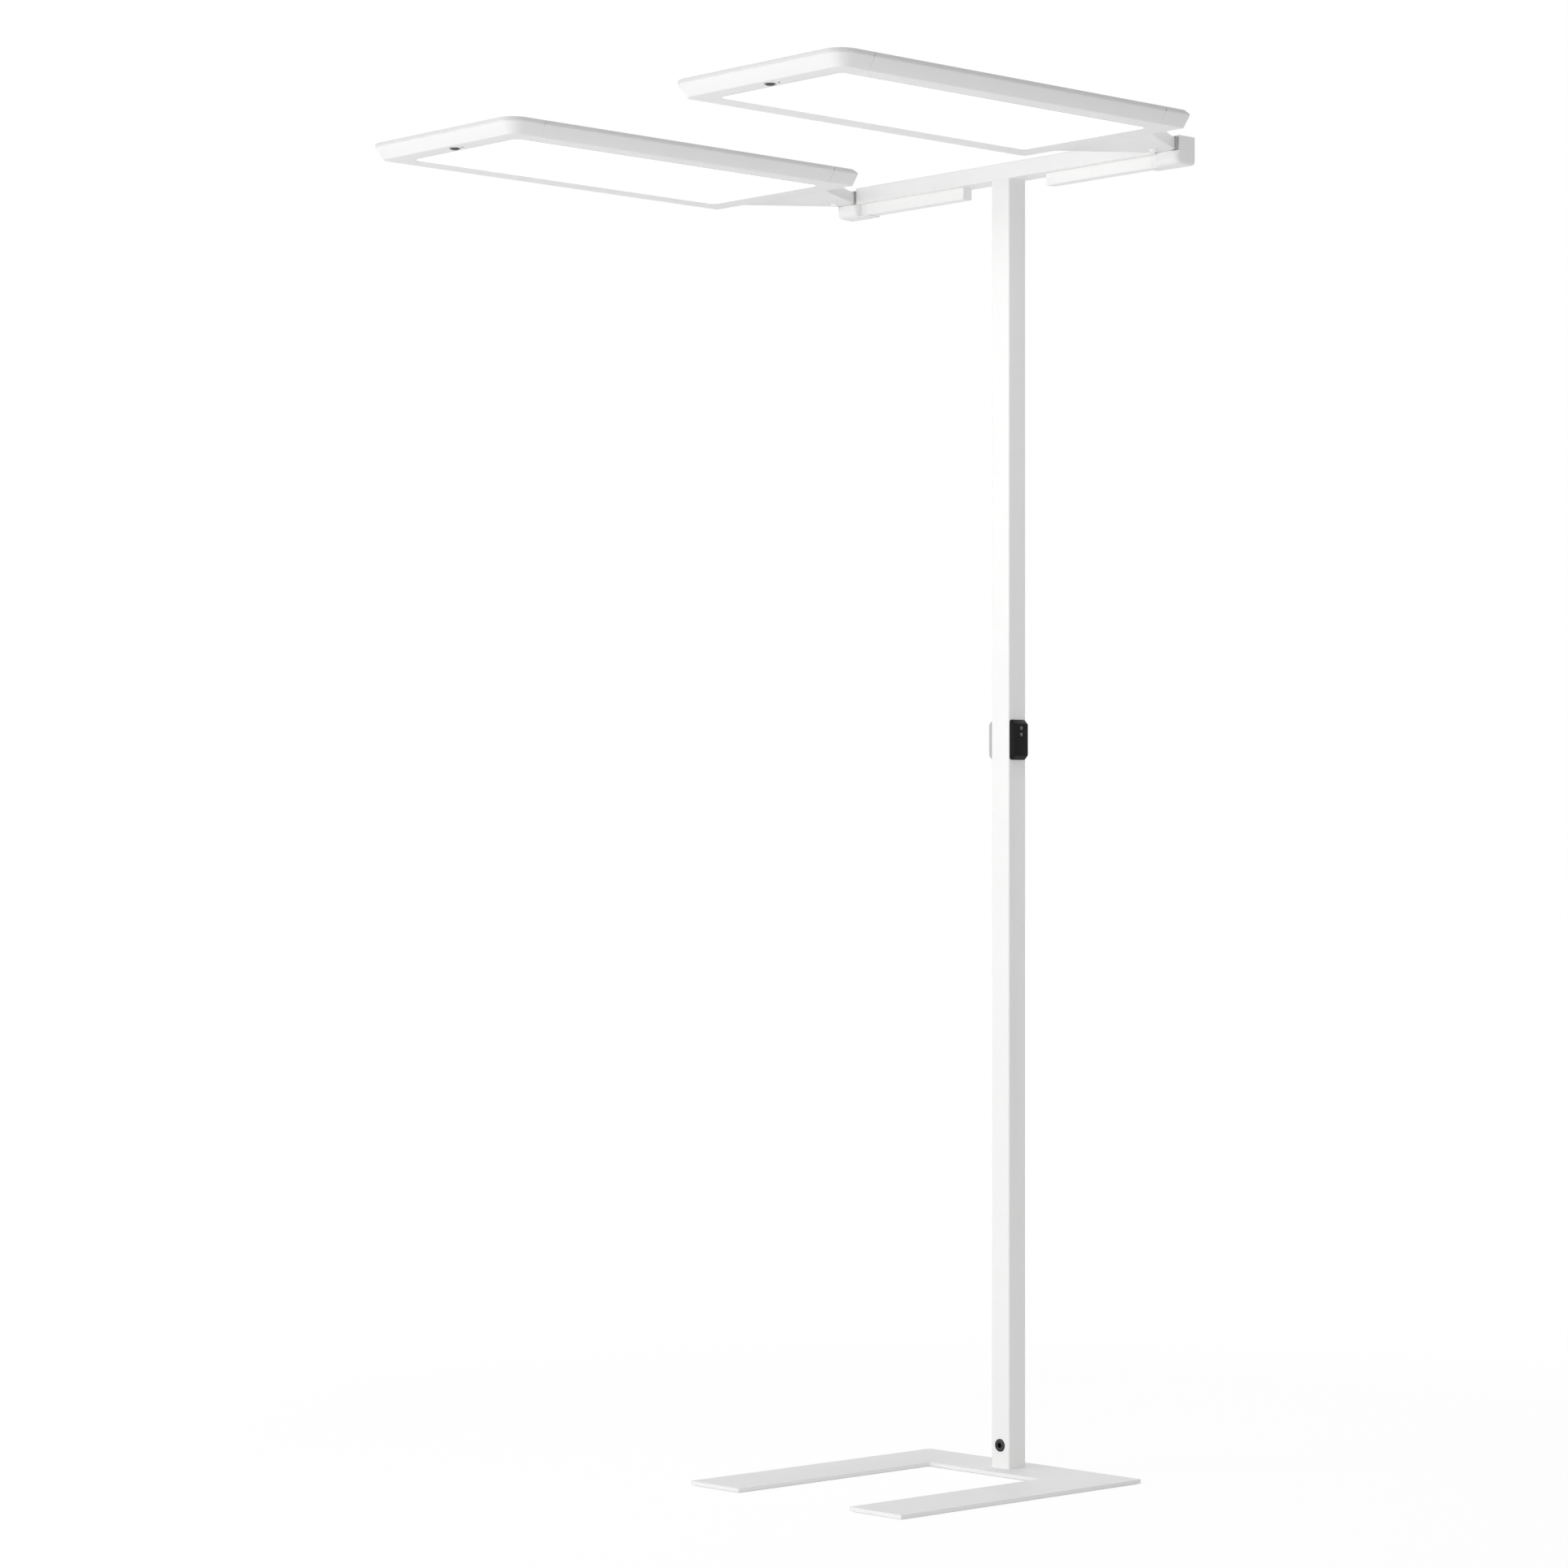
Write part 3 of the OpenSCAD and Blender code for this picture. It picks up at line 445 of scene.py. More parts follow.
def smooth(mesh, angle=32):
    """Smooth shading, with edges sharper than the angle kept"""
    mesh.polygons.foreach_set("use_smooth", [True] * len(mesh.polygons))
    mesh.set_sharp_from_angle(angle=math.radians(angle))


def put(name, data):
    """A new object in the scene"""
    thing = bpy.data.objects.new(name, data)
    bpy.context.scene.collection.objects.link(thing)
    return thing


def new_mesh(name, points, faces):
    """A mesh from its points and faces"""
    mesh = bpy.data.meshes.new(name)
    mesh.from_pydata([tuple(p) for p in points], [], faces)
    return mesh


def cleaned(name, mesh, coat, flat=None):
    """An object of a mesh: doubled points merged, and faces flat to an angle joined or else
    turned outwards, in one coat"""
    shape = bmesh.new()
    shape.from_mesh(mesh)
    bmesh.ops.remove_doubles(shape, verts=shape.verts, dist=1e-6)
    if flat is None:
        bmesh.ops.recalc_face_normals(shape, faces=shape.faces)
    else:
        bmesh.ops.dissolve_limit(shape, angle_limit=flat, verts=shape.verts, edges=shape.edges,
                                 delimit=set())
    shape.to_mesh(mesh)
    shape.free()
    mesh.materials.clear()
    mesh.materials.append(finish(coat))
    smooth(mesh)
    return put(name, mesh)


def solid(name, points, faces, coat):
    """An object of a closed mesh"""
    return cleaned(name, new_mesh(name, points, faces), coat)


def loft(name, rings, coat, wrap=False):
    """A solid through rings of equal length; wrap joins the last ring to the first"""
    count = len(rings[0])
    points = [point for ring in rings for point in ring]
    faces = []
    for here in range(len(rings) if wrap else len(rings) - 1):
        a, b = here * count, (here + 1) % len(rings) * count
        for i in range(count):
            j = (i + 1) % count
            faces.append((a + i, a + j, b + j, b + i))
    if not wrap:
        faces.append(tuple(reversed(range(count))))
        faces.append(tuple(range(len(points) - count, len(points))))
    return solid(name, points, faces, coat)


def turned(name, profile, centre, axis, coat, steps=64, wrap=False):
    """A solid turned round an axis: profile lists radius and distance along the axis"""
    turn = Vector((0, 0, 1)).rotation_difference(Vector(axis)).to_matrix()
    rings = []
    angles = [2 * HALF_TURN * i / steps for i in range(steps)]
    for radius, along in profile:
        ring = [Vector((radius * math.cos(a), radius * math.sin(a), along)) for a in angles]
        rings.append([Vector(centre) + turn @ p for p in ring])
    return loft(name, rings, coat, wrap)


def rounded(corners, steps=4):
    """A closed outline whose corners (u, v, radius) are replaced by arcs"""
    outline = []
    for i, (u, v, radius) in enumerate(corners):
        here = Vector((u, v))
        before = (Vector(corners[i - 1][:2]) - here).normalized()
        after = (Vector(corners[(i + 1) % len(corners)][:2]) - here).normalized()
        opening = before.angle(after)
        if radius <= 0 or opening > HALF_TURN - 0.01:
            outline.append(here)
            continue
        setback = radius / math.tan(opening / 2)
        centre = here + (before + after).normalized() * (radius / math.sin(opening / 2))
        start, end = here + before * setback - centre, here + after * setback - centre
        arc = [start.slerp(end, k / steps).normalized() for k in range(steps + 1)]
        outline += [centre + spoke * radius for spoke in arc]
    return outline


def shrunk(outline, amount):
    """A closed outline moved inwards by an amount"""
    area = sum(a.x * b.y - a.y * b.x for a, b in zip(outline, outline[1:] + outline[:1]))
    inward = math.copysign(amount, area)
    moved = []
    for i, here in enumerate(outline):
        before = (here - outline[i - 1]).normalized()
        after = (outline[(i + 1) % len(outline)] - here).normalized()
        along = before + after
        along = along.normalized() if along.length > 1e-6 else before
        moved.append(here + Vector((-along.y, along.x)) * inward)
    return moved


def round_box(half_u, half_v, radius, steps=6):
    """A centred rectangle with round corners, as points (u, v)"""
    signs = ((1, 1), (-1, 1), (-1, -1), (1, -1))
    return rounded([(su * half_u, sv * half_v, radius) for su, sv in signs], steps)


def between(value, table):
    """Straight interpolation in a table of (value, result)"""
    for (x0, y0), (x1, y1) in zip(table, table[1:]):
        if value <= x1:
            return y0 + (y1 - y0) * (value - x0) / (x1 - x0)
    return table[-1][1]


def soften(piece, radius, segments=2, angle=30):
    """Rounds a piece's sharp edges"""
    bevel = piece.modifiers.new("edges", "BEVEL")
    bevel.width = radius
    bevel.segments = segments
    bevel.limit_method = "ANGLE"
    bevel.angle_limit = math.radians(angle)
    bevel.use_clamp_overlap = True
    bevel.harden_normals = True
    bevel.miter_outer = "MITER_ARC"
    return piece


def settle(piece):
    """Turns a piece with modifiers into a plain mesh"""
    graph = bpy.context.evaluated_depsgraph_get()
    mesh = bpy.data.meshes.new_from_object(piece.evaluated_get(graph), depsgraph=graph)
    piece.modifiers.clear()
    piece.data = mesh
    return piece


def cut(piece, *cutters):
    """Takes the cutters' shapes out of a piece"""
    for cutter in cutters:
        change = piece.modifiers.new("cut", "BOOLEAN")
        change.operation = "DIFFERENCE"
        change.solver = "EXACT"
        change.object = cutter
    settle(piece)
    for cutter in cutters:
        bpy.data.objects.remove(cutter)
    smooth(piece.data)
    return piece


def softened_copy(node, coat, radius, *cutters):
    """A copy of a node with the cutters' shapes taken off, and its edges rounded"""
    piece = cleaned(f"{node}_body", NODES[node].data.copy(), coat, flat=math.radians(0.3))
    if cutters:
        cut(piece, *cutters)
    soften(piece, radius)
    return stand_in(piece, node)


def side_box(name, sign, across, along, up):
    """A box from its ranges in X, Y and Z on the right side, mirrored for the left side"""
    left, right = sorted(sign * x for x in across)
    front, rear = along
    outline = [(left, front), (right, front), (right, rear), (left, rear)]
    return loft(name, [[(x, y, z) for x, y in outline] for z in up], "powder_coat")


def hole(profile, centre, axis):
    """A turned solid, for cutting"""
    return turned("hole", profile, centre, axis, "powder_coat", 48)


# ---------------------------------------------------------------- repeated pieces

def new_tree(name, **sizes):
    """An empty node tree with a mesh in and out, and a named input for each size"""
    tree = bpy.data.node_groups.new(name, "GeometryNodeTree")
    tree.interface.new_socket("Geometry", in_out="INPUT", socket_type="NodeSocketGeometry")
    for label, default in sizes.items():
        socket = tree.interface.new_socket(label.replace("_", " "), in_out="INPUT",
                                           socket_type="NodeSocketFloat")
        socket.default_value = default
    tree.interface.new_socket("Finish", in_out="INPUT", socket_type="NodeSocketMaterial")
    tree.interface.new_socket("Geometry", in_out="OUTPUT", socket_type="NodeSocketGeometry")
    return tree, tree.nodes.new("NodeGroupInput").outputs


def scatter(tree, given, shape):
    """Ends a tree: the shape at each point, made real, with its finish"""
    copies = add(tree, "GeometryNodeInstanceOnPoints", Points=given["Geometry"], Instance=shape)
    real = add(tree, "GeometryNodeRealizeInstances", Geometry=copies)
    add(tree, "NodeGroupOutput", Geometry=add(tree, "GeometryNodeSetMaterial", Geometry=real,
                                              Material=given["Finish"]))
    return tree


def socket_screw_tree():
    """Countersunk screws with a hexagon socket, one at each point of the mesh"""
    tree, given = new_tree("socket_screws", Head_radius=0.005, Head_height=0.0025,
                           Shank_radius=0.003, Shank_length=0.02, Socket_radius=0.002)
    head = add(tree, "GeometryNodeMeshCone", Vertices=48, Radius_Top=given["Head radius"],
               Radius_Bottom=given["Shank radius"], Depth=given["Head height"])
    socket = add(tree, "GeometryNodeMeshCylinder", Vertices=6, Radius=given["Socket radius"],
                 Depth=given["Head height"])
    drop = add(tree, "ShaderNodeCombineXYZ", Z=given["Head height"])
    sunk = add(tree, "GeometryNodeTransform", Geometry=socket, Translation=drop)
    opened = add(tree, "GeometryNodeMeshBoolean", {"operation": "DIFFERENCE"},
                 Mesh_1=head, Mesh_2=sunk)
    shank = add(tree, "GeometryNodeMeshCylinder", Vertices=24, Radius=given["Shank radius"],
                Depth=given["Shank length"])
    half = add(tree, "ShaderNodeMath", {"operation": "MULTIPLY"}, _0=given["Shank length"], _1=-0.5)
    below = add(tree, "ShaderNodeCombineXYZ", Z=half)
    lowered = add(tree, "GeometryNodeTransform", Geometry=shank, Translation=below)
    whole = add(tree, "GeometryNodeJoinGeometry", Geometry=opened)
    feed(tree, whole, Geometry=lowered)
    return scatter(tree, given, whole)


def block_tree():
    """Small blocks, one at each point of the mesh, such as light emitters"""
    tree, given = new_tree("blocks", Length=0.003, Width=0.003, Height=0.001)
    size = add(tree, "ShaderNodeCombineXYZ", X=given["Length"], Y=given["Width"],
               Z=given["Height"])
    return scatter(tree, given, add(tree, "GeometryNodeMeshCube", Size=size))


TREES = {"socket_screws": socket_screw_tree, "blocks": block_tree}


def repeated(name, tree_name, places, coat, **sizes):
    """A plain mesh of what a tree makes at each of the places"""
    tree = bpy.data.node_groups.get(tree_name) or TREES[tree_name]()
    piece = put(name, new_mesh(name, places, []))
    maker = piece.modifiers.new("maker", "NODES")
    maker.node_group = tree
    sizes["Finish"] = finish(coat)
    for item in tree.interface.items_tree:
        label = item.name.replace(" ", "_")
        if item.in_out == "INPUT" and label in sizes:
            maker[item.identifier] = sizes[label]
    settle(piece)
    smooth(piece.data)
    return piece


def grid(low, high, counts):
    """Places in even rows and columns between two corners, at the low corner's height"""
    xs, ys = [[low[k] + (high[k] - low[k]) * (i + 0.5) / counts[k] for i in range(counts[k])]
              for k in (0, 1)]
    return [(x, y, low[2]) for x in xs for y in ys]


# ---------------------------------------------------------------- foot and post

def make_foot():
    """The foot plate with its rounded edges, the rubber mat and the screws"""
    softened_copy("base_plate", "powder_coat", settings()[1].edge)
    recoat("floor_rubber", "floor_mat")
    recoat("zinc_steel", "base_screws")


def make_post():
    """The square post and the blocks that are pressed into it"""
    softened_copy("post", "powder_coat", settings()[1].edge / 2)
    recoat("sawn_aluminium", "post_foot_block", "post_head_block")


def make_cable_outlet():
    """The black outlet for the mains lead: its collar and the soft bush inside"""
    low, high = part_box("cable_gland")
    centre = ((low.x + high.x) / 2, low.y, (low.z + high.z) / 2)
    outer, depth = (high.z - low.z) / 2, high.y - low.y
    bore, body, collar = 4 * MM, 7 * MM, 2 * MM
    profile = rounded([(bore, 0.3 * MM, 0.2 * MM), (bore + 1.5 * MM, 0, 0.5 * MM),
                       (outer, 0.4 * MM, 0.8 * MM), (outer, collar, 0.1 * MM),
                       (body, collar, 0), (body, depth, 0.3 * MM), (bore, depth, 0.3 * MM)])
    outlet = turned("cable_outlet", profile, centre, (0, 1, 0), "outlet_black", wrap=True)
    stand_in(outlet, "cable_gland")
    recoat("outlet_black", "gland_nut")


# ---------------------------------------------------------------- control units

DISH = 0.14 * MM    # depth of the dish in a button's top


def unit_shell(name, node, side, coat):
    """A control unit's bevelled shell, with soft edges"""
    low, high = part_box(node)
    root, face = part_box("post")[1].x, reach(node)[1]
    half_w, half_h = (high.y - low.y) / 2, (high.z - low.z) / 2
    mid = (high.z + low.z) / 2
    skirt, side_in, end_in, rim = 1 * MM, 2 * MM, 6 * MM, 0.5 * MM
    foot_round, face_round = 4 * MM, 2 * MM
    levels = [(root, 0, 0, foot_round), (root + skirt - rim, 0, 0, foot_round),
              (root + skirt, 0.06 * MM, 0.15 * MM, 3.9 * MM)]
    rise = face - root - skirt
    for share in (0.25, 0.5, 0.75, 0.94):
        levels.append((root + skirt + rise * share, side_in * share, end_in * share,
                       foot_round + (face_round - foot_round) * share))
    levels += [(face - 0.12 * MM, side_in * 0.99 + 0.1 * MM, end_in + 0.15 * MM, face_round),
               (face, side_in + rim, end_in + 1.2 * rim, 1.8 * MM)]
    rings = [[(side * x, u, mid + v) for u, v in round_box(half_w - su, half_h - sv, radius)]
             for x, su, sv, radius in levels]
    return loft(name, rings, coat)


def button_height(node):
    """The middle of a button, in Y and Z"""
    low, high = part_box(node)
    return (low.y + high.y) / 2, (low.z + high.z) / 2


def make_button(node):
    """A push button: a cap with a dished top and a rounded edge, its collar and its stem"""
    low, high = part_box(node)
    cap, collar, stem, edge = 3.5 * MM, (high.z - low.z) / 2, 1.5 * MM, 0.5 * MM
    inner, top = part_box("control_panel")[1].x - 2 * MM, high.x
    profile = [(0, low.x), (stem, low.x), (stem, inner - 1 * MM), (collar, inner - 1 * MM),
               (collar, inner), (cap, inner), (cap, top - edge)]
    profile += [(cap - edge * (1 - math.cos(a)), top - edge * (1 - math.sin(a)))
                for a in (QUARTER_TURN * k / 4 for k in range(1, 5))]
    profile += [(cap * 0.72, top - 0.02 * MM), (cap * 0.45, top - 0.1 * MM), (0, top - DISH)]
    button = turned(f"{node}_cap", profile, (0, *button_height(node)), (1, 0, 0),
                    "button_moulding", 48)
    stand_in(button, node)


def flat_sign(name, outlines, node):
    """A raised print on a button: each outline is a list of points (across, up)"""
    y, z = button_height(node)
    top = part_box(node)[1].x
    points, faces = [], []
    for outline in outlines:
        first, count = len(points), len(outline)
        for x in (top - 0.2 * MM, top - DISH + 0.12 * MM):
            points += [(x, y + u, z + v) for u, v in outline]
        faces.append(tuple(range(first, first + count)))
        faces.append(tuple(range(first + 2 * count - 1, first + count - 1, -1)))
        for i in range(count):
            j = (i + 1) % count
            faces.append((first + i, first + j, first + count + j, first + count + i))
    dress(solid(name, points, faces, "sign_print"), node)


def ring_outline(radius, stroke, start, end, steps=24):
    """An open ring's outline, from one angle to another"""
    angles = [start + (end - start) * k / steps for k in range(steps + 1)]
    outer, inner = [[(r * math.cos(a), r * math.sin(a)) for a in angles]
                    for r in (radius + stroke / 2, radius - stroke / 2)]
    return outer + inner[::-1]


def make_control_unit():
    """The black control unit with its two push buttons and their signs"""
    panel = unit_shell("control_unit", "control_panel", 1, "black_moulding")
    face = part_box("control_panel")[1].x
    well, mouth = 3.8 * MM, 4.15 * MM
    profile = [(0, face - 3 * MM), (well, face - 3 * MM), (well, face - 0.35 * MM),
               (mouth, face + 0.1 * MM), (mouth, face + 1 * MM), (0, face + 1 * MM)]
    buttons = ("power_button", "dimmer_button")
    cut(panel, *[hole(profile, (0, *button_height(node)), (1, 0, 0)) for node in buttons])
    stand_in(panel, "control_panel")
    for node in buttons:
        make_button(node)
    half, low, high = 0.25 * MM, 0.2 * MM, 2.1 * MM
    bar = [(-half, low), (half, low), (half, high), (-half, high)]
    gap = math.radians(32)
    ring = ring_outline(1.7 * MM, 2 * half, QUARTER_TURN + gap, QUARTER_TURN + 2 * HALF_TURN - gap)
    flat_sign("power_sign", [ring, bar], "power_button")
    wide, up, down, soft = 1.9 * MM, 1.3 * MM, 2 * MM, 0.25 * MM
    wedge = rounded([(-wide, up, soft), (wide, up, soft), (0, -down, soft)])
    flat_sign("dimmer_sign", [wedge], "dimmer_button")
    recoat("board_green", "control_board")
    cover = unit_shell("left_cover", "radio_module_cover", -1, "grey_moulding")
    stand_in(cover, "radio_module_cover")


# ---------------------------------------------------------------- arm

def make_arm():
    """The cross arm with its bolts, the end blocks and the driver housings"""
    shape = settings()[1]
    softened_copy("arm_bar", "powder_coat", shape.edge / 2)
    recoat("sawn_aluminium", "arm_spacer")
    low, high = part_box("arm_bolts")
    radius, shank = (high.y - low.y) / 2, 3 * MM
    cone = radius - shank
    places = [(x, 0, high.z - cone) for x in (low.x + radius, high.x - radius)]
    bolts = repeated("arm_bolt_heads", "socket_screws", places, "zinc_steel", Head_radius=radius,
                     Head_height=cone, Shank_radius=shank, Shank_length=high.z - low.z - cone,
                     Socket_radius=2.3 * MM)
    stand_in(bolts, "arm_bolts")
    arm_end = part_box("arm_bar")[1].x
    for side, sign in SIDES.items():
        block, housing = f"end_block_{side}", f"driver_housing_{side}"
        low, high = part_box(housing)
        short = side_box("short", sign, (reach(block)[0] - 1 * MM, arm_end - shape.ledge),
                         (-20 * MM, 20 * MM), (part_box(block)[0].z - 1 * MM, low.z + 0.05 * MM))
        softened_copy(block, "powder_coat", shape.edge, short, *block_cutters(block, sign))
        tenon = side_box(f"{block}_tenon", sign, (reach(housing)[1], arm_end + 2 * MM),
                         (low.y + 0.5 * MM, high.y - 0.5 * MM), (low.z, high.z))
        dress(soften(tenon, shape.edge / 2), block)
        softened_copy(housing, "white_moulding", shape.edge / 2)
        recoat("drawn_case", f"led_driver_{side}")


def block_cutters(block, sign):
    """What rounds an end block: slabs off its top and its foot, a mould round its lower part"""
    trim = settings()[1].block_trim
    low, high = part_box(block)
    arm_low, arm_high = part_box("arm_bar")
    root, tip, joint = arm_high.x, reach(block)[1], arm_low.z
    foot, over = low.z + trim, 5 * MM
    beyond, along = tip + over, (low.y - over, high.y + over)
    top = side_box("top", sign, (root, beyond), along, (high.z - trim, high.z + over))
    sole = side_box("sole", sign, (tip - 65 * MM, beyond), along, (low.z - over, foot))
    fillets, corner, sharp = (9 * MM, 6 * MM, 5 * MM), 7 * MM, 0.01 * MM
    rings, steps = [], 12
    for k in range(steps + 1):
        up = fillets[0] * (1 - math.cos(QUARTER_TURN * k / steps))
        front, rear, end = [r - math.sqrt(max(0.0, r * r - max(0.0, r - up) ** 2)) for r in fillets]
        outline = rounded([(root, low.y + front, sharp), (tip - end, low.y + front, corner),
                           (tip - end, high.y - rear, sharp), (root, high.y - rear, sharp)], 8)
        rings.append([(sign * x, y, foot + up) for x, y in outline])
    rings.append([(sign * x, y, joint) for x, y in outline])
    mould = side_box("mould", sign, (root, beyond), along, (foot - 0.02 * MM, joint))
    return top, sole, cut(mould, loft("kept", rings, "powder_coat"))


# ---------------------------------------------------------------- heads

class Head:
    """Measures of one head, read from its frame"""

    def __init__(self, side):
        shape = settings()[1]
        cap_low, cap_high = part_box(f"front_cap_{side}")
        rear_low, rear_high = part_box(f"rear_cap_{side}")
        glass_low, glass_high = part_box(f"diffuser_{side}")
        cover_low, cover_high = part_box(f"top_cover_{side}")
        self.x = (cap_low.x + cap_high.x) / 2
        self.half = (cap_high.x - cap_low.x) / 2
        self.front, self.rear = cap_low.y, rear_high.y
        self.front_seam, self.rear_seam = cap_high.y, rear_low.y
        self.low, self.top = cap_low.z, cap_high.z
        self.seat = glass_low.z
        self.cover_low = cover_low.z
        self.cover_in = cap_high.x - cover_high.x
        self.seat_width = 5 * MM
        lap = 4.9 * MM
        self.side_open = self.half - (glass_high.x - glass_low.x) / 2 + lap
        lean, ahead = shape.side_lean, shape.front_lean
        self.front_in = [(0, 0), (lean, ahead), (self.side_open, glass_low.y + lap - self.front)]
        self.rear_in = [(0, -shape.rear_reach), (lean, -shape.rear_reach / 2),
                        (self.side_open, self.rear - glass_high.y + lap)]
        pocket = [(self.side_open - self.seat_width, 1 * MM), (self.side_open, shape.face_radius)]
        self.front_round = [(0, shape.front_radius), (lean, shape.front_radius - lean), *pocket]
        self.rear_round = [(0, shape.rear_radius), (lean, shape.rear_radius), *pocket]

    def section(self, hollow):
        """A shell's cross-section, as points (distance in from the side, height)"""
        shape = settings()[1]
        lean, groove = shape.side_lean, shape.groove
        lip = self.top - shape.lip_height
        slope = lean / (lip - self.low)
        lip_in = self.cover_in - 0.1 * MM
        web = self.side_open - self.seat_width
        deep, soft = groove + 0.4 * MM, 0.25 * MM
        corners = [(self.side_open, self.low, 0.4 * MM), (lean, self.low, 1.3 * MM),
                   (slope * groove, lip - groove, soft), (deep, lip - groove, 0), (deep, lip, 0),
                   (0, lip, soft), (0, self.top, 0.6 * MM), (lip_in, self.top, soft),
                   (lip_in, self.cover_low, 0)]
        if hollow:
            wall = 2.5 * MM
            corners += [(lip_in + wall, self.cover_low, 0), (lip_in + wall, lip - groove, 0),
                        (lean + wall, self.low + wall, 0), (web, self.low + wall, 0)]
        else:
            corners.append((web, self.cover_low, 0))
        corners += [(web, self.seat, 0), (self.side_open, self.seat, 0)]
        return rounded(corners)

    def slope(self, point, towards):
        """How far a section point is drawn forward at the rear end, above the lip's foot"""
        shape = settings()[1]
        inset, z = point
        over_lip = z - self.top + shape.lip_height
        if towards < 0:
            return 0
        if inset < self.cover_in / 2:
            return shape.rear_slope * max(0, over_lip) / shape.lip_height
        return shape.rear_slope if z > self.cover_low - 0.1 * MM and inset < self.cover_in else 0

    def cap_ring_points(self, point, end, seam, ends, rounds):
        """One section point carried round a cap, from the seam on +X to the seam on -X"""
        inset, z = point
        towards = math.copysign(1, end - seam)
        half = self.half - inset
        radius = between(inset, rounds)
        edge = end - towards * (between(inset, ends) + self.slope(point, towards))
        turning = edge - towards * radius
        steps = 14
        arc = [(half - radius + radius * math.cos(a), turning + towards * radius * math.sin(a))
               for a in (QUARTER_TURN * k / steps for k in range(steps + 1))]
        path = [(half, seam + towards * settings()[1].seam), *arc]
        path += [(-x, y) for x, y in reversed(path)]
        return [(self.x + x, y, z) for x, y in path]

    def cap(self, name, end, seam, ends, rounds):
        """An end cap: the section swept round the cap's outline, with pinched ends at the seams"""
        section = self.section(hollow=True)
        columns = [self.cap_ring_points(p, end, seam, ends, rounds) for p in section]
        rings = [list(ring) for ring in zip(*columns)]
        shape = settings()[1]
        pinched = shrunk(section, shape.seam_depth)
        depths = (seam, seam + math.copysign(shape.seam, end - seam))
        first, last = [[[(self.x + sign * (self.half - p.x), y, p.y) for p in pinched] for y in row]
                       for sign, row in ((1, depths), (-1, depths[::-1]))]
        return self.paint_lip(loft(name, first + rings + last, "head_coat"))

    def rail(self, name, sign):
        """A side rail: the section run straight between the seams"""
        section = self.section(hollow=False)
        pinched = shrunk(section, settings()[1].seam_depth)
        first, last = self.front_seam + settings()[1].seam, self.rear_seam - settings()[1].seam
        places = [(self.front_seam, pinched), (first, pinched), (first, section),
                  (last, section), (last, pinched), (self.rear_seam, pinched)]
        rings = [[(self.x + sign * (self.half - p.x), y, p.y) for p in outline]
                 for y, outline in places]
        return self.paint_lip(loft(name, rings, "head_coat"))

    def paint_lip(self, piece):
        """Gives the upright lip its own coat, darkened as painted shade"""
        lip = self.top - settings()[1].lip_height
        mesh = piece.data
        mesh.materials.append(finish("lip_coat"))
        for face in mesh.polygons:
            face.material_index = int(abs(face.normal.z) < 0.9 and face.center.z > lip)
        return piece


def make_shells(side):
    """A head's front cap, rear cap and two rails"""
    head = Head(side)
    front = head.cap(f"front_cap_{side}_shell", head.front, head.front_seam,
                     head.front_in, head.front_round)
    cutters = []
    for node, clearance in (("presence_sensor", 0.3 * MM), ("daylight_sensor", 0.15 * MM)):
        low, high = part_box(f"{node}_{side}")
        centre, radius = middle(f"{node}_{side}")
        radius, below = radius + clearance, low.z - 5 * MM
        cutters.append(hole([(0, below), (radius, below), (radius, high.z), (0, high.z)], centre,
                            (0, 0, 1)))
    cut(front, *cutters)
    stand_in(front, f"front_cap_{side}")
    rear = head.cap(f"rear_cap_{side}_shell", head.rear, head.rear_seam,
                    head.rear_in, head.rear_round)
    stand_in(rear, f"rear_cap_{side}")
    for rail, sign in (("rail_inner", -SIDES[side]), ("rail_outer", SIDES[side])):
        stand_in(head.rail(f"{rail}_{side}_profile", sign), f"{rail}_{side}")


def head_outline(head, inset, front_in, rear_in, front_radius, rear_radius, z):
    """A ring round a head in plan, with its corners rounded"""
    half, front, rear = head.half - inset, head.front + front_in, head.rear - rear_in
    corners = [(half, front, front_radius), (half, rear, rear_radius),
               (-half, rear, rear_radius), (-half, front, front_radius)]
    return [(head.x + u, v, z) for u, v in rounded(corners, 10)]


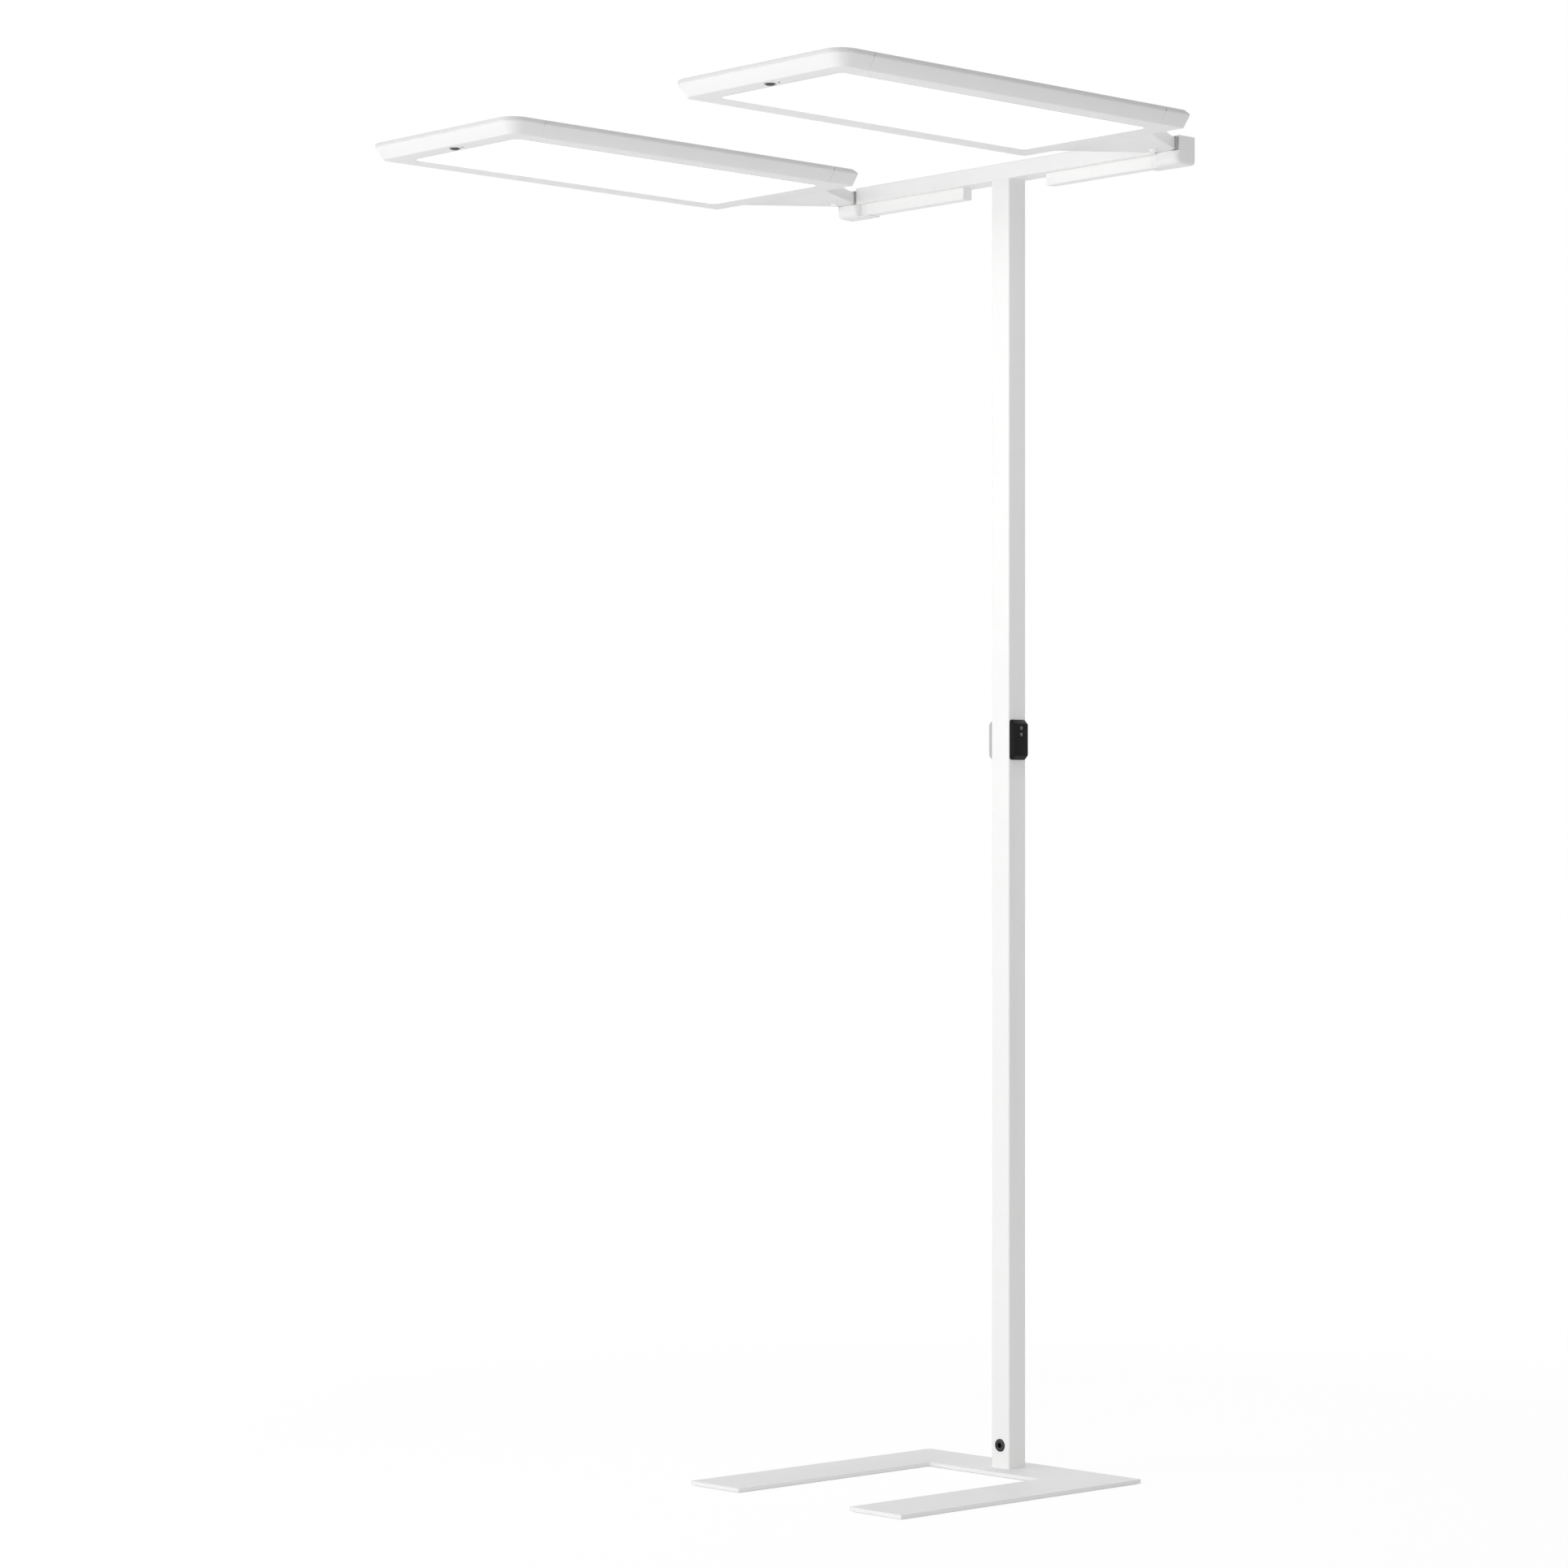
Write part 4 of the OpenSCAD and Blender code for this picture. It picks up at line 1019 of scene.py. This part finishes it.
def make_cover(side):
    """A head's top cover with its screws, and the ribbed window over the indirect light"""
    shape = settings()[1]
    head = Head(side)
    low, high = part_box(f"top_cover_{side}")
    glass_low, glass_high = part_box(f"uplight_window_{side}")
    lap, soft = 8 * MM, 0.35 * MM
    window = (head.half - (glass_high.x - glass_low.x) / 2 + lap,
              glass_low.y + lap - head.front, head.rear - glass_high.y + lap)
    inset = head.cover_in
    rear = inset + shape.rear_slope - shape.rear_reach
    outer = (shape.front_radius - inset, shape.rear_radius)
    inner = (2 * MM, 2 * MM)
    levels = [(inset, inset, rear, *outer, low.z),
              (inset, inset, rear, *outer, high.z - soft),
              (inset + soft, inset + soft, rear + soft, *outer, high.z),
              (*[inward - soft for inward in window], *inner, high.z),
              (*window, *inner, high.z - soft), (*window, *inner, low.z)]
    cover = loft(f"top_cover_{side}_sheet", [head_outline(head, *level) for level in levels],
                 "head_coat", wrap=True)
    stand_in(cover, f"top_cover_{side}")
    across, first, span, sunk = head.half - 16 * MM, 40 * MM, 56 * MM, 0.8 * MM
    rows = [head.front + first + (head.rear - head.front - span) * k / (shape.cover_screws - 1)
            for k in range(shape.cover_screws)]
    places = [(head.x + sign * across, y, high.z - sunk) for sign in (-1, 1) for y in rows]
    screws = repeated(f"cover_screws_{side}", "socket_screws", places, "zinc_steel",
                      Head_radius=2.6 * MM, Head_height=sunk, Shank_radius=1.3 * MM,
                      Shank_length=4 * MM, Socket_radius=1.2 * MM)
    dress(screws, f"top_cover_{side}")
    make_window(side, glass_low, glass_high, lap)


def make_window(side, low, high, lap):
    """The ribbed window: fine prisms run along the head, inside a flat rim"""
    pitch, depth = 3.2 * MM, 0.5 * MM
    count = int((high.x - low.x - 2 * (lap + 1 * MM)) / pitch)
    start, top = (low.x + high.x) / 2 - count * pitch / 2, high.z
    ridge = [(low.x, low.z), (low.x, top), (start, top)]
    for k in range(count):
        ridge += [(start + (k + 0.5) * pitch, top - depth), (start + (k + 1) * pitch, top)]
    ridge += [(high.x, top), (high.x, low.z)]
    rings = [[(x, y, z) for x, z in ridge] for y in (low.y, high.y)]
    window = loft(f"uplight_window_{side}_prisms", rings, "prism_window")
    window.data.set_sharp_from_angle(angle=math.radians(5))
    stand_in(window, f"uplight_window_{side}")


def make_light_parts(side):
    """What lights a head: the opal face, the guide, the reflector and the boards with emitters"""
    shape = settings()[1]
    softened_copy(f"diffuser_{side}", "opal_face", 0.3 * MM)
    recoat("light_guide_clear", f"light_guide_{side}")
    recoat("reflector_white", f"reflector_plate_{side}")
    recoat("board_white", f"uplight_board_{side}", f"led_bars_{side}")
    low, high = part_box(f"uplight_board_{side}")
    inset, width, height = 4 * MM, 3 * MM, 0.6 * MM
    counts = (shape.led_rows, int((high.y - low.y - 2 * inset) / shape.led_pitch))
    places = grid((low.x + inset, low.y + inset, high.z + height / 2),
                  (high.x - inset, high.y - inset), counts)
    emitters = repeated(f"uplight_emitters_{side}", "blocks", places, "emitter_glow",
                        Length=width, Width=width, Height=height)
    dress(emitters, f"uplight_board_{side}")


def make_sensors(side):
    """A head's presence sensor with its faceted lens, and its daylight sensor"""
    node = f"presence_sensor_{side}"
    low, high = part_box(node)
    centre, radius = middle(node)
    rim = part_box(f"front_cap_{side}")[0].z
    sunk = rim - 0.5 * MM
    ledge = radius - 1.1 * MM
    profile = [(0, low.z), *dome(0, ledge, low.z, sunk - low.z), (ledge + 0.2 * MM, sunk),
               (radius - 0.3 * MM, sunk), (radius, rim - 0.2 * MM), (radius, high.z), (0, high.z)]
    sensor = turned(f"{node}_lens", profile, centre, (0, 0, 1), "sensor_lens", 40)
    sensor.data.set_sharp_from_angle(angle=math.radians(8))
    stand_in(sensor, node)
    node = f"daylight_sensor_{side}"
    low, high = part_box(node)
    centre, radius = middle(node)
    profile = [(0, low.z + 0.25 * MM), (radius * 0.55, low.z + 0.2 * MM), (radius * 0.7, low.z),
               (radius * 0.9, low.z), (radius, low.z + 0.15 * MM), (radius, high.z), (0, high.z)]
    stand_in(turned(f"{node}_eye", profile, centre, (0, 0, 1), "sensor_lens", 24), node)


# ---------------------------------------------------------------- necks and swivels

def neck_ring(centre, y, half, low, hollow, top, crown):
    """One cross-section of the neck: an arched underside between two rims, and a crowned top"""
    steps, fullness, rim, fillet, flat = 12, 6, 5 * MM, 0.8 * MM, 18 * MM
    blunt = 0.25 * fillet
    outline = [((half - rim) * k / steps, low + hollow * (1 - (k / steps) ** fullness))
               for k in range(steps + 1)]
    outline += [(half - fillet, low), (half - blunt, low + blunt), (half, low + fillet),
                (half, top - fillet), (half - blunt, top - blunt), (half - fillet, top),
                (min(flat, half - 2 * fillet), top + crown)]
    ring = [(centre + x, y, z) for x, z in outline]
    return ring + [(centre - x, y, z) for x, z in reversed(outline[1:])]


def eased(share):
    """A share from 0 to 1 with a smooth start and end"""
    return share * share * (3 - 2 * share)


def make_neck(side):
    """The cast neck: arched underneath near its head, and running into the swivel end"""
    shape = settings()[1]
    low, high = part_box(f"neck_{side}")
    cap_low, cap_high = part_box(f"pivot_cap_{side}")
    washer_low, washer_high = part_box(f"pivot_washers_{side}")
    centre = (low.x + high.x) / 2
    wide, narrow = shape.neck_width / 2, 20 * MM
    end_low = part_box("arm_bar")[0].z + 0.3 * MM
    hollow_end, crown_end, crown = 0.7, 0.6, 3 * MM
    edge, steps = high.z - crown, 24
    rings = []
    for share in (k / steps for k in range(steps + 1)):
        rings.append(neck_ring(centre, low.y + (high.y - low.y) * share,
                               wide + (narrow - wide) * share, low.z + (end_low - low.z) * share,
                               shape.neck_hollow * eased(max(0.0, 1 - share / hollow_end)),
                               edge, crown * eased(min(1.0, share / crown_end))))
    pivot = (washer_low.y + washer_high.y) / 2
    swing, rounded_share, last = 28.2 * MM, 0.8, 7
    turn = math.acos((high.y - pivot) / swing)
    for angle in (turn * (1 - rounded_share * k / last) for k in range(last + 1)):
        rings.append(neck_ring(centre, pivot + swing * math.cos(angle), swing * math.sin(angle),
                               end_low, 0, edge, crown))
    neck = loft(f"neck_{side}_casting", rings, "head_coat")
    slot_half = 16.5 * MM
    slot = side_box("slot", 1, (centre - slot_half, centre + slot_half),
                    (pivot - 14 * MM, high.y + 5 * MM), (washer_low.z, washer_high.z))
    radius = (cap_high.x - cap_low.x) / 2 + 0.25 * MM
    mouth, below = radius + 0.5 * MM, low.z - 5 * MM
    well = hole([(0, below), (mouth, below), (mouth, cap_low.z + 1.6 * MM),
                 (radius, cap_low.z + 2.2 * MM), (radius, cap_high.z), (0, cap_high.z)],
                (centre, pivot, 0), (0, 0, 1))
    cut(neck, slot, well)
    stand_in(neck, f"neck_{side}")


def make_shade_cheeks(side, pivot):
    """The seal's two grey cheeks, hollowed so that the neck's corners swing past them: grey sheets
    that fill the gap as painted shade
    """
    low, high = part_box(f"gap_seal_{side}")
    swing, half = 31.2 * MM, (high.x - low.x) / 2 + 0.9 * MM
    back, steps = high.y - 0.1 * MM, 12
    first = math.acos((low.y + 0.6 * MM - pivot[1]) / swing)
    last = math.asin(half / swing)
    arc = [first + (last - first) * k / steps for k in range(steps + 1)]
    outline = [(swing * math.sin(a), pivot[1] + swing * math.cos(a)) for a in arc]
    outline += [(half, back), (outline[0][0], back)]
    for name, sign in SIDES.items():
        rings = [[(pivot[0] + sign * x, y, z) for x, y in outline] for z in (low.z, high.z)]
        shade_cheek = loft(f"gap_seal_{side}_cheek_{name}", rings, "gap_rubber")
        dress(soften(shade_cheek, 0.4 * MM), f"gap_seal_{side}")


def make_swivel(side):
    """A swivel's tongue, pin, washers, seal and the white cap underneath"""
    node = f"pivot_cap_{side}"
    low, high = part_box(node)
    centre, radius = middle(node)
    flat, bottom = 0.3 * radius, low.z - 2.5 * MM
    profile = [(0, bottom), (flat, bottom + 0.1 * MM), *dome(flat, radius, bottom, 5.2 * MM),
               (radius, high.z), (0, high.z)]
    stand_in(turned(f"{node}_button", profile, centre, (0, 0, 1), "cap_moulding", 48), node)
    # the tongue's grey is partly its casting's own colour, partly painted shade in the gap behind
    # the neck
    softened_copy(f"swivel_tongue_{side}", "cast_grey", 0.5 * MM)
    # the seal and its cheeks fill the gap behind the neck with grey, as painted shade
    softened_copy(f"gap_seal_{side}", "gap_rubber", 0.4 * MM)
    make_shade_cheeks(side, centre)
    recoat("zinc_steel", f"pivot_pin_{side}")
    recoat("washer_ivory", f"pivot_washers_{side}")


# ---------------------------------------------------------------- stage

def seen_or_reflected(tree):
    """1 for rays that the camera sees, straight, in a gloss or through something clear"""
    rays = add(tree, "ShaderNodeLightPath").outputs
    total = rays["Is Camera Ray"]
    for kind in ("Is Glossy Ray", "Is Transmission Ray"):
        total = add(tree, "ShaderNodeMath", {"operation": "MAXIMUM"}, _0=total, _1=rays[kind])
    return total


def floor_material():
    """A pale floor that looks white, and keeps the lamp's soft shadow"""
    material = make_material("studio_floor", *look(
        settings()[2].floor[:], 0.9, (noise(800, 3), 0.99, 1.0), None, Specular_IOR_Level=0.0))
    tree = material.node_tree
    place = add(tree, "ShaderNodeTexCoord").outputs["Object"]
    distance = add(tree, "ShaderNodeVectorMath", {"operation": "LENGTH"}, _0=place)
    whiter = add(tree, "ShaderNodeMapRange", Value=distance.outputs["Value"],
                 From_Min=1.2, From_Max=5.0, To_Min=0.8, To_Max=0.95)
    share = add(tree, "ShaderNodeMath", {"operation": "MULTIPLY"}, _0=seen_or_reflected(tree),
                _1=whiter)
    glow = add(tree, "ShaderNodeEmission", Color=(1, 1, 1, 1), Strength=1.07)
    mix = add(tree, "ShaderNodeMixShader", _0=share, _1=tree.nodes["Principled BSDF"], _2=glow)
    feed(tree, tree.nodes["Material Output"], Surface=mix)
    return material


def make_floor():
    """A wide round floor under the lamp"""
    radius, steps = 60.0, 96
    angles = [2 * HALF_TURN * k / steps for k in range(steps)]
    ring = [(radius * math.cos(a), radius * math.sin(a), 0) for a in angles]
    floor = put("studio_floor", new_mesh("studio_floor", ring, [tuple(range(steps))]))
    floor.data.materials.append(floor_material())
    floor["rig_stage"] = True


def make_sky():
    """An even room light, which is white where the camera sees it"""
    world = bpy.data.worlds.new("studio")
    bpy.context.scene.world = world
    world.use_nodes = True
    tree = world.node_tree
    light = tree.nodes["Background"]
    feed(tree, light, Color=(1, 1, 1, 1), Strength=settings()[2].sky)
    white = add(tree, "ShaderNodeBackground", Color=(1, 1, 1, 1), Strength=1.0)
    mix = add(tree, "ShaderNodeMixShader", _0=seen_or_reflected(tree), _1=light, _2=white)
    feed(tree, tree.nodes["World Output"], Surface=mix)


def area_light(name, place, target, size, watts):
    """A large soft light that points at a target"""
    data = bpy.data.lights.new(name, "AREA")
    data.shape = "SQUARE"
    data.size = size
    data.energy = watts
    light = put(name, data)
    light.location = place
    light.visible_camera = False
    light.rotation_euler = (Vector(target) - Vector(place)).to_track_quat("-Z", "Y").to_euler()


def make_camera():
    """The camera at the photograph's viewpoint: level, with a long lens and a little shift"""
    stage = settings()[2]
    forward = Vector((-math.sin(stage.azimuth), math.cos(stage.azimuth), 0))
    across = Vector((math.cos(stage.azimuth), math.sin(stage.azimuth), 0))
    distance, offset = 6182.7 * MM, 336.1 * MM
    data = bpy.data.cameras.new("camera")
    data.sensor_width = 36.0
    data.lens = 94.82
    data.shift_y = 0.0532
    data.clip_end = 200
    camera = put("camera", data)
    camera.location = -forward * distance - across * offset + Vector((0, 0, stage.eye_height))
    camera.rotation_euler = (QUARTER_TURN, 0, stage.azimuth)
    bpy.context.scene.camera = camera


def make_stage():
    """The floor, the lights and the camera"""
    stage = settings()[2]
    make_floor()
    make_sky()
    chest, heads = (0, -0.2, 1.2), (0, -0.4, 1.93)
    area_light("key_light", (-2.2, -5.0, 3.4), chest, 3.5, stage.key)
    area_light("front_light", (-2.8, -4.6, 1.4), chest, 2.4, stage.front)
    area_light("low_light", (1.2, -3.4, 0.15), heads, 1.4, stage.low)
    area_light("back_light", (-1.5, 4.5, 3.2), (0, 0, 1.3), 3.0, stage.back)
    make_camera()
    bpy.context.scene.view_settings.view_transform = "Standard"


# ---------------------------------------------------------------- operators

class LampOperator:
    """What the lamp's operators share"""

    bl_options = {"REGISTER", "UNDO"}


class LAMP_OT_stage(LampOperator, bpy.types.Operator):
    """Add the floor, the lights and the camera"""

    bl_idname = "lamp.stage"
    bl_label = "Stage"

    def execute(self, context):
        make_stage()
        return {"FINISHED"}


class LAMP_OT_foot(LampOperator, bpy.types.Operator):
    """Finish the foot plate and its rubber mat"""

    bl_idname = "lamp.foot"
    bl_label = "Foot"

    def execute(self, context):
        make_foot()
        return {"FINISHED"}


class LAMP_OT_post(LampOperator, bpy.types.Operator):
    """Finish the post and its blocks"""

    bl_idname = "lamp.post"
    bl_label = "Post"

    def execute(self, context):
        make_post()
        return {"FINISHED"}


class LAMP_OT_cable_outlet(LampOperator, bpy.types.Operator):
    """Finish the outlet for the mains lead"""

    bl_idname = "lamp.cable_outlet"
    bl_label = "Cable outlet"

    def execute(self, context):
        make_cable_outlet()
        return {"FINISHED"}


class LAMP_OT_controls(LampOperator, bpy.types.Operator):
    """Finish the control unit, its buttons and the cover opposite"""

    bl_idname = "lamp.controls"
    bl_label = "Controls"

    def execute(self, context):
        make_control_unit()
        return {"FINISHED"}


class LAMP_OT_arm(LampOperator, bpy.types.Operator):
    """Finish the arm, its bolts, end blocks and driver housings"""

    bl_idname = "lamp.arm"
    bl_label = "Arm"

    def execute(self, context):
        make_arm()
        return {"FINISHED"}


class LAMP_OT_head_shells(LampOperator, bpy.types.Operator):
    """Finish the heads' end caps and rails"""

    bl_idname = "lamp.head_shells"
    bl_label = "Head shells"

    def execute(self, context):
        for side in SIDES:
            make_shells(side)
        return {"FINISHED"}


class LAMP_OT_head_covers(LampOperator, bpy.types.Operator):
    """Finish the heads' top covers and their windows"""

    bl_idname = "lamp.head_covers"
    bl_label = "Head covers"

    def execute(self, context):
        for side in SIDES:
            make_cover(side)
        return {"FINISHED"}


class LAMP_OT_light_parts(LampOperator, bpy.types.Operator):
    """Finish the luminous faces and what lights them"""

    bl_idname = "lamp.light_parts"
    bl_label = "Light parts"

    def execute(self, context):
        for side in SIDES:
            make_light_parts(side)
        return {"FINISHED"}


class LAMP_OT_sensors(LampOperator, bpy.types.Operator):
    """Finish the presence and daylight sensors"""

    bl_idname = "lamp.sensors"
    bl_label = "Sensors"

    def execute(self, context):
        for side in SIDES:
            make_sensors(side)
        return {"FINISHED"}


class LAMP_OT_necks(LampOperator, bpy.types.Operator):
    """Finish the necks and their swivels"""

    bl_idname = "lamp.necks"
    bl_label = "Necks"

    def execute(self, context):
        for side in SIDES:
            make_neck(side)
            make_swivel(side)
        return {"FINISHED"}


PIECES = (LAMP_OT_foot, LAMP_OT_post, LAMP_OT_cable_outlet, LAMP_OT_controls, LAMP_OT_arm,
          LAMP_OT_head_shells, LAMP_OT_head_covers, LAMP_OT_light_parts, LAMP_OT_sensors,
          LAMP_OT_necks, LAMP_OT_stage)
GROUPS = {"lamp_finish": LampFinish, "lamp_shape": LampShape, "lamp_stage": LampStage}


class LAMP_PT_panel(bpy.types.Panel):
    """The lamp's settings and its pieces"""

    bl_label = "Office floor lamp"
    bl_idname = "LAMP_PT_panel"
    bl_space_type = "VIEW_3D"
    bl_region_type = "UI"
    bl_category = "Lamp"

    def draw(self, context):
        layout = self.layout
        for name, group in GROUPS.items():
            box = layout.box()
            for field in group.__annotations__:
                box.prop(getattr(context.scene, name), field)
        for piece in PIECES:
            layout.operator(piece.bl_idname)


def register():
    """Registers the settings, the operators and the panel"""
    for cls in (*GROUPS.values(), *PIECES, LAMP_PT_panel):
        bpy.utils.register_class(cls)
    for name, group in GROUPS.items():
        setattr(bpy.types.Scene, name, PointerProperty(type=group))


def unregister():
    """Takes back what register did"""
    for name in GROUPS:
        delattr(bpy.types.Scene, name)
    for cls in (LAMP_PT_panel, *reversed(PIECES), *reversed(GROUPS.values())):
        bpy.utils.unregister_class(cls)


def main():
    """Builds the whole lamp"""
    register()
    for piece in PIECES:
        group, name = piece.bl_idname.split(".")
        getattr(getattr(bpy.ops, group), name)()
    boxes = {"cad": CAD_BOUNDS, "visual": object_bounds()}
    {k: [list(low), list(high)] for k, (low, high) in boxes.items()}


if __name__ == "__main__":
    main()
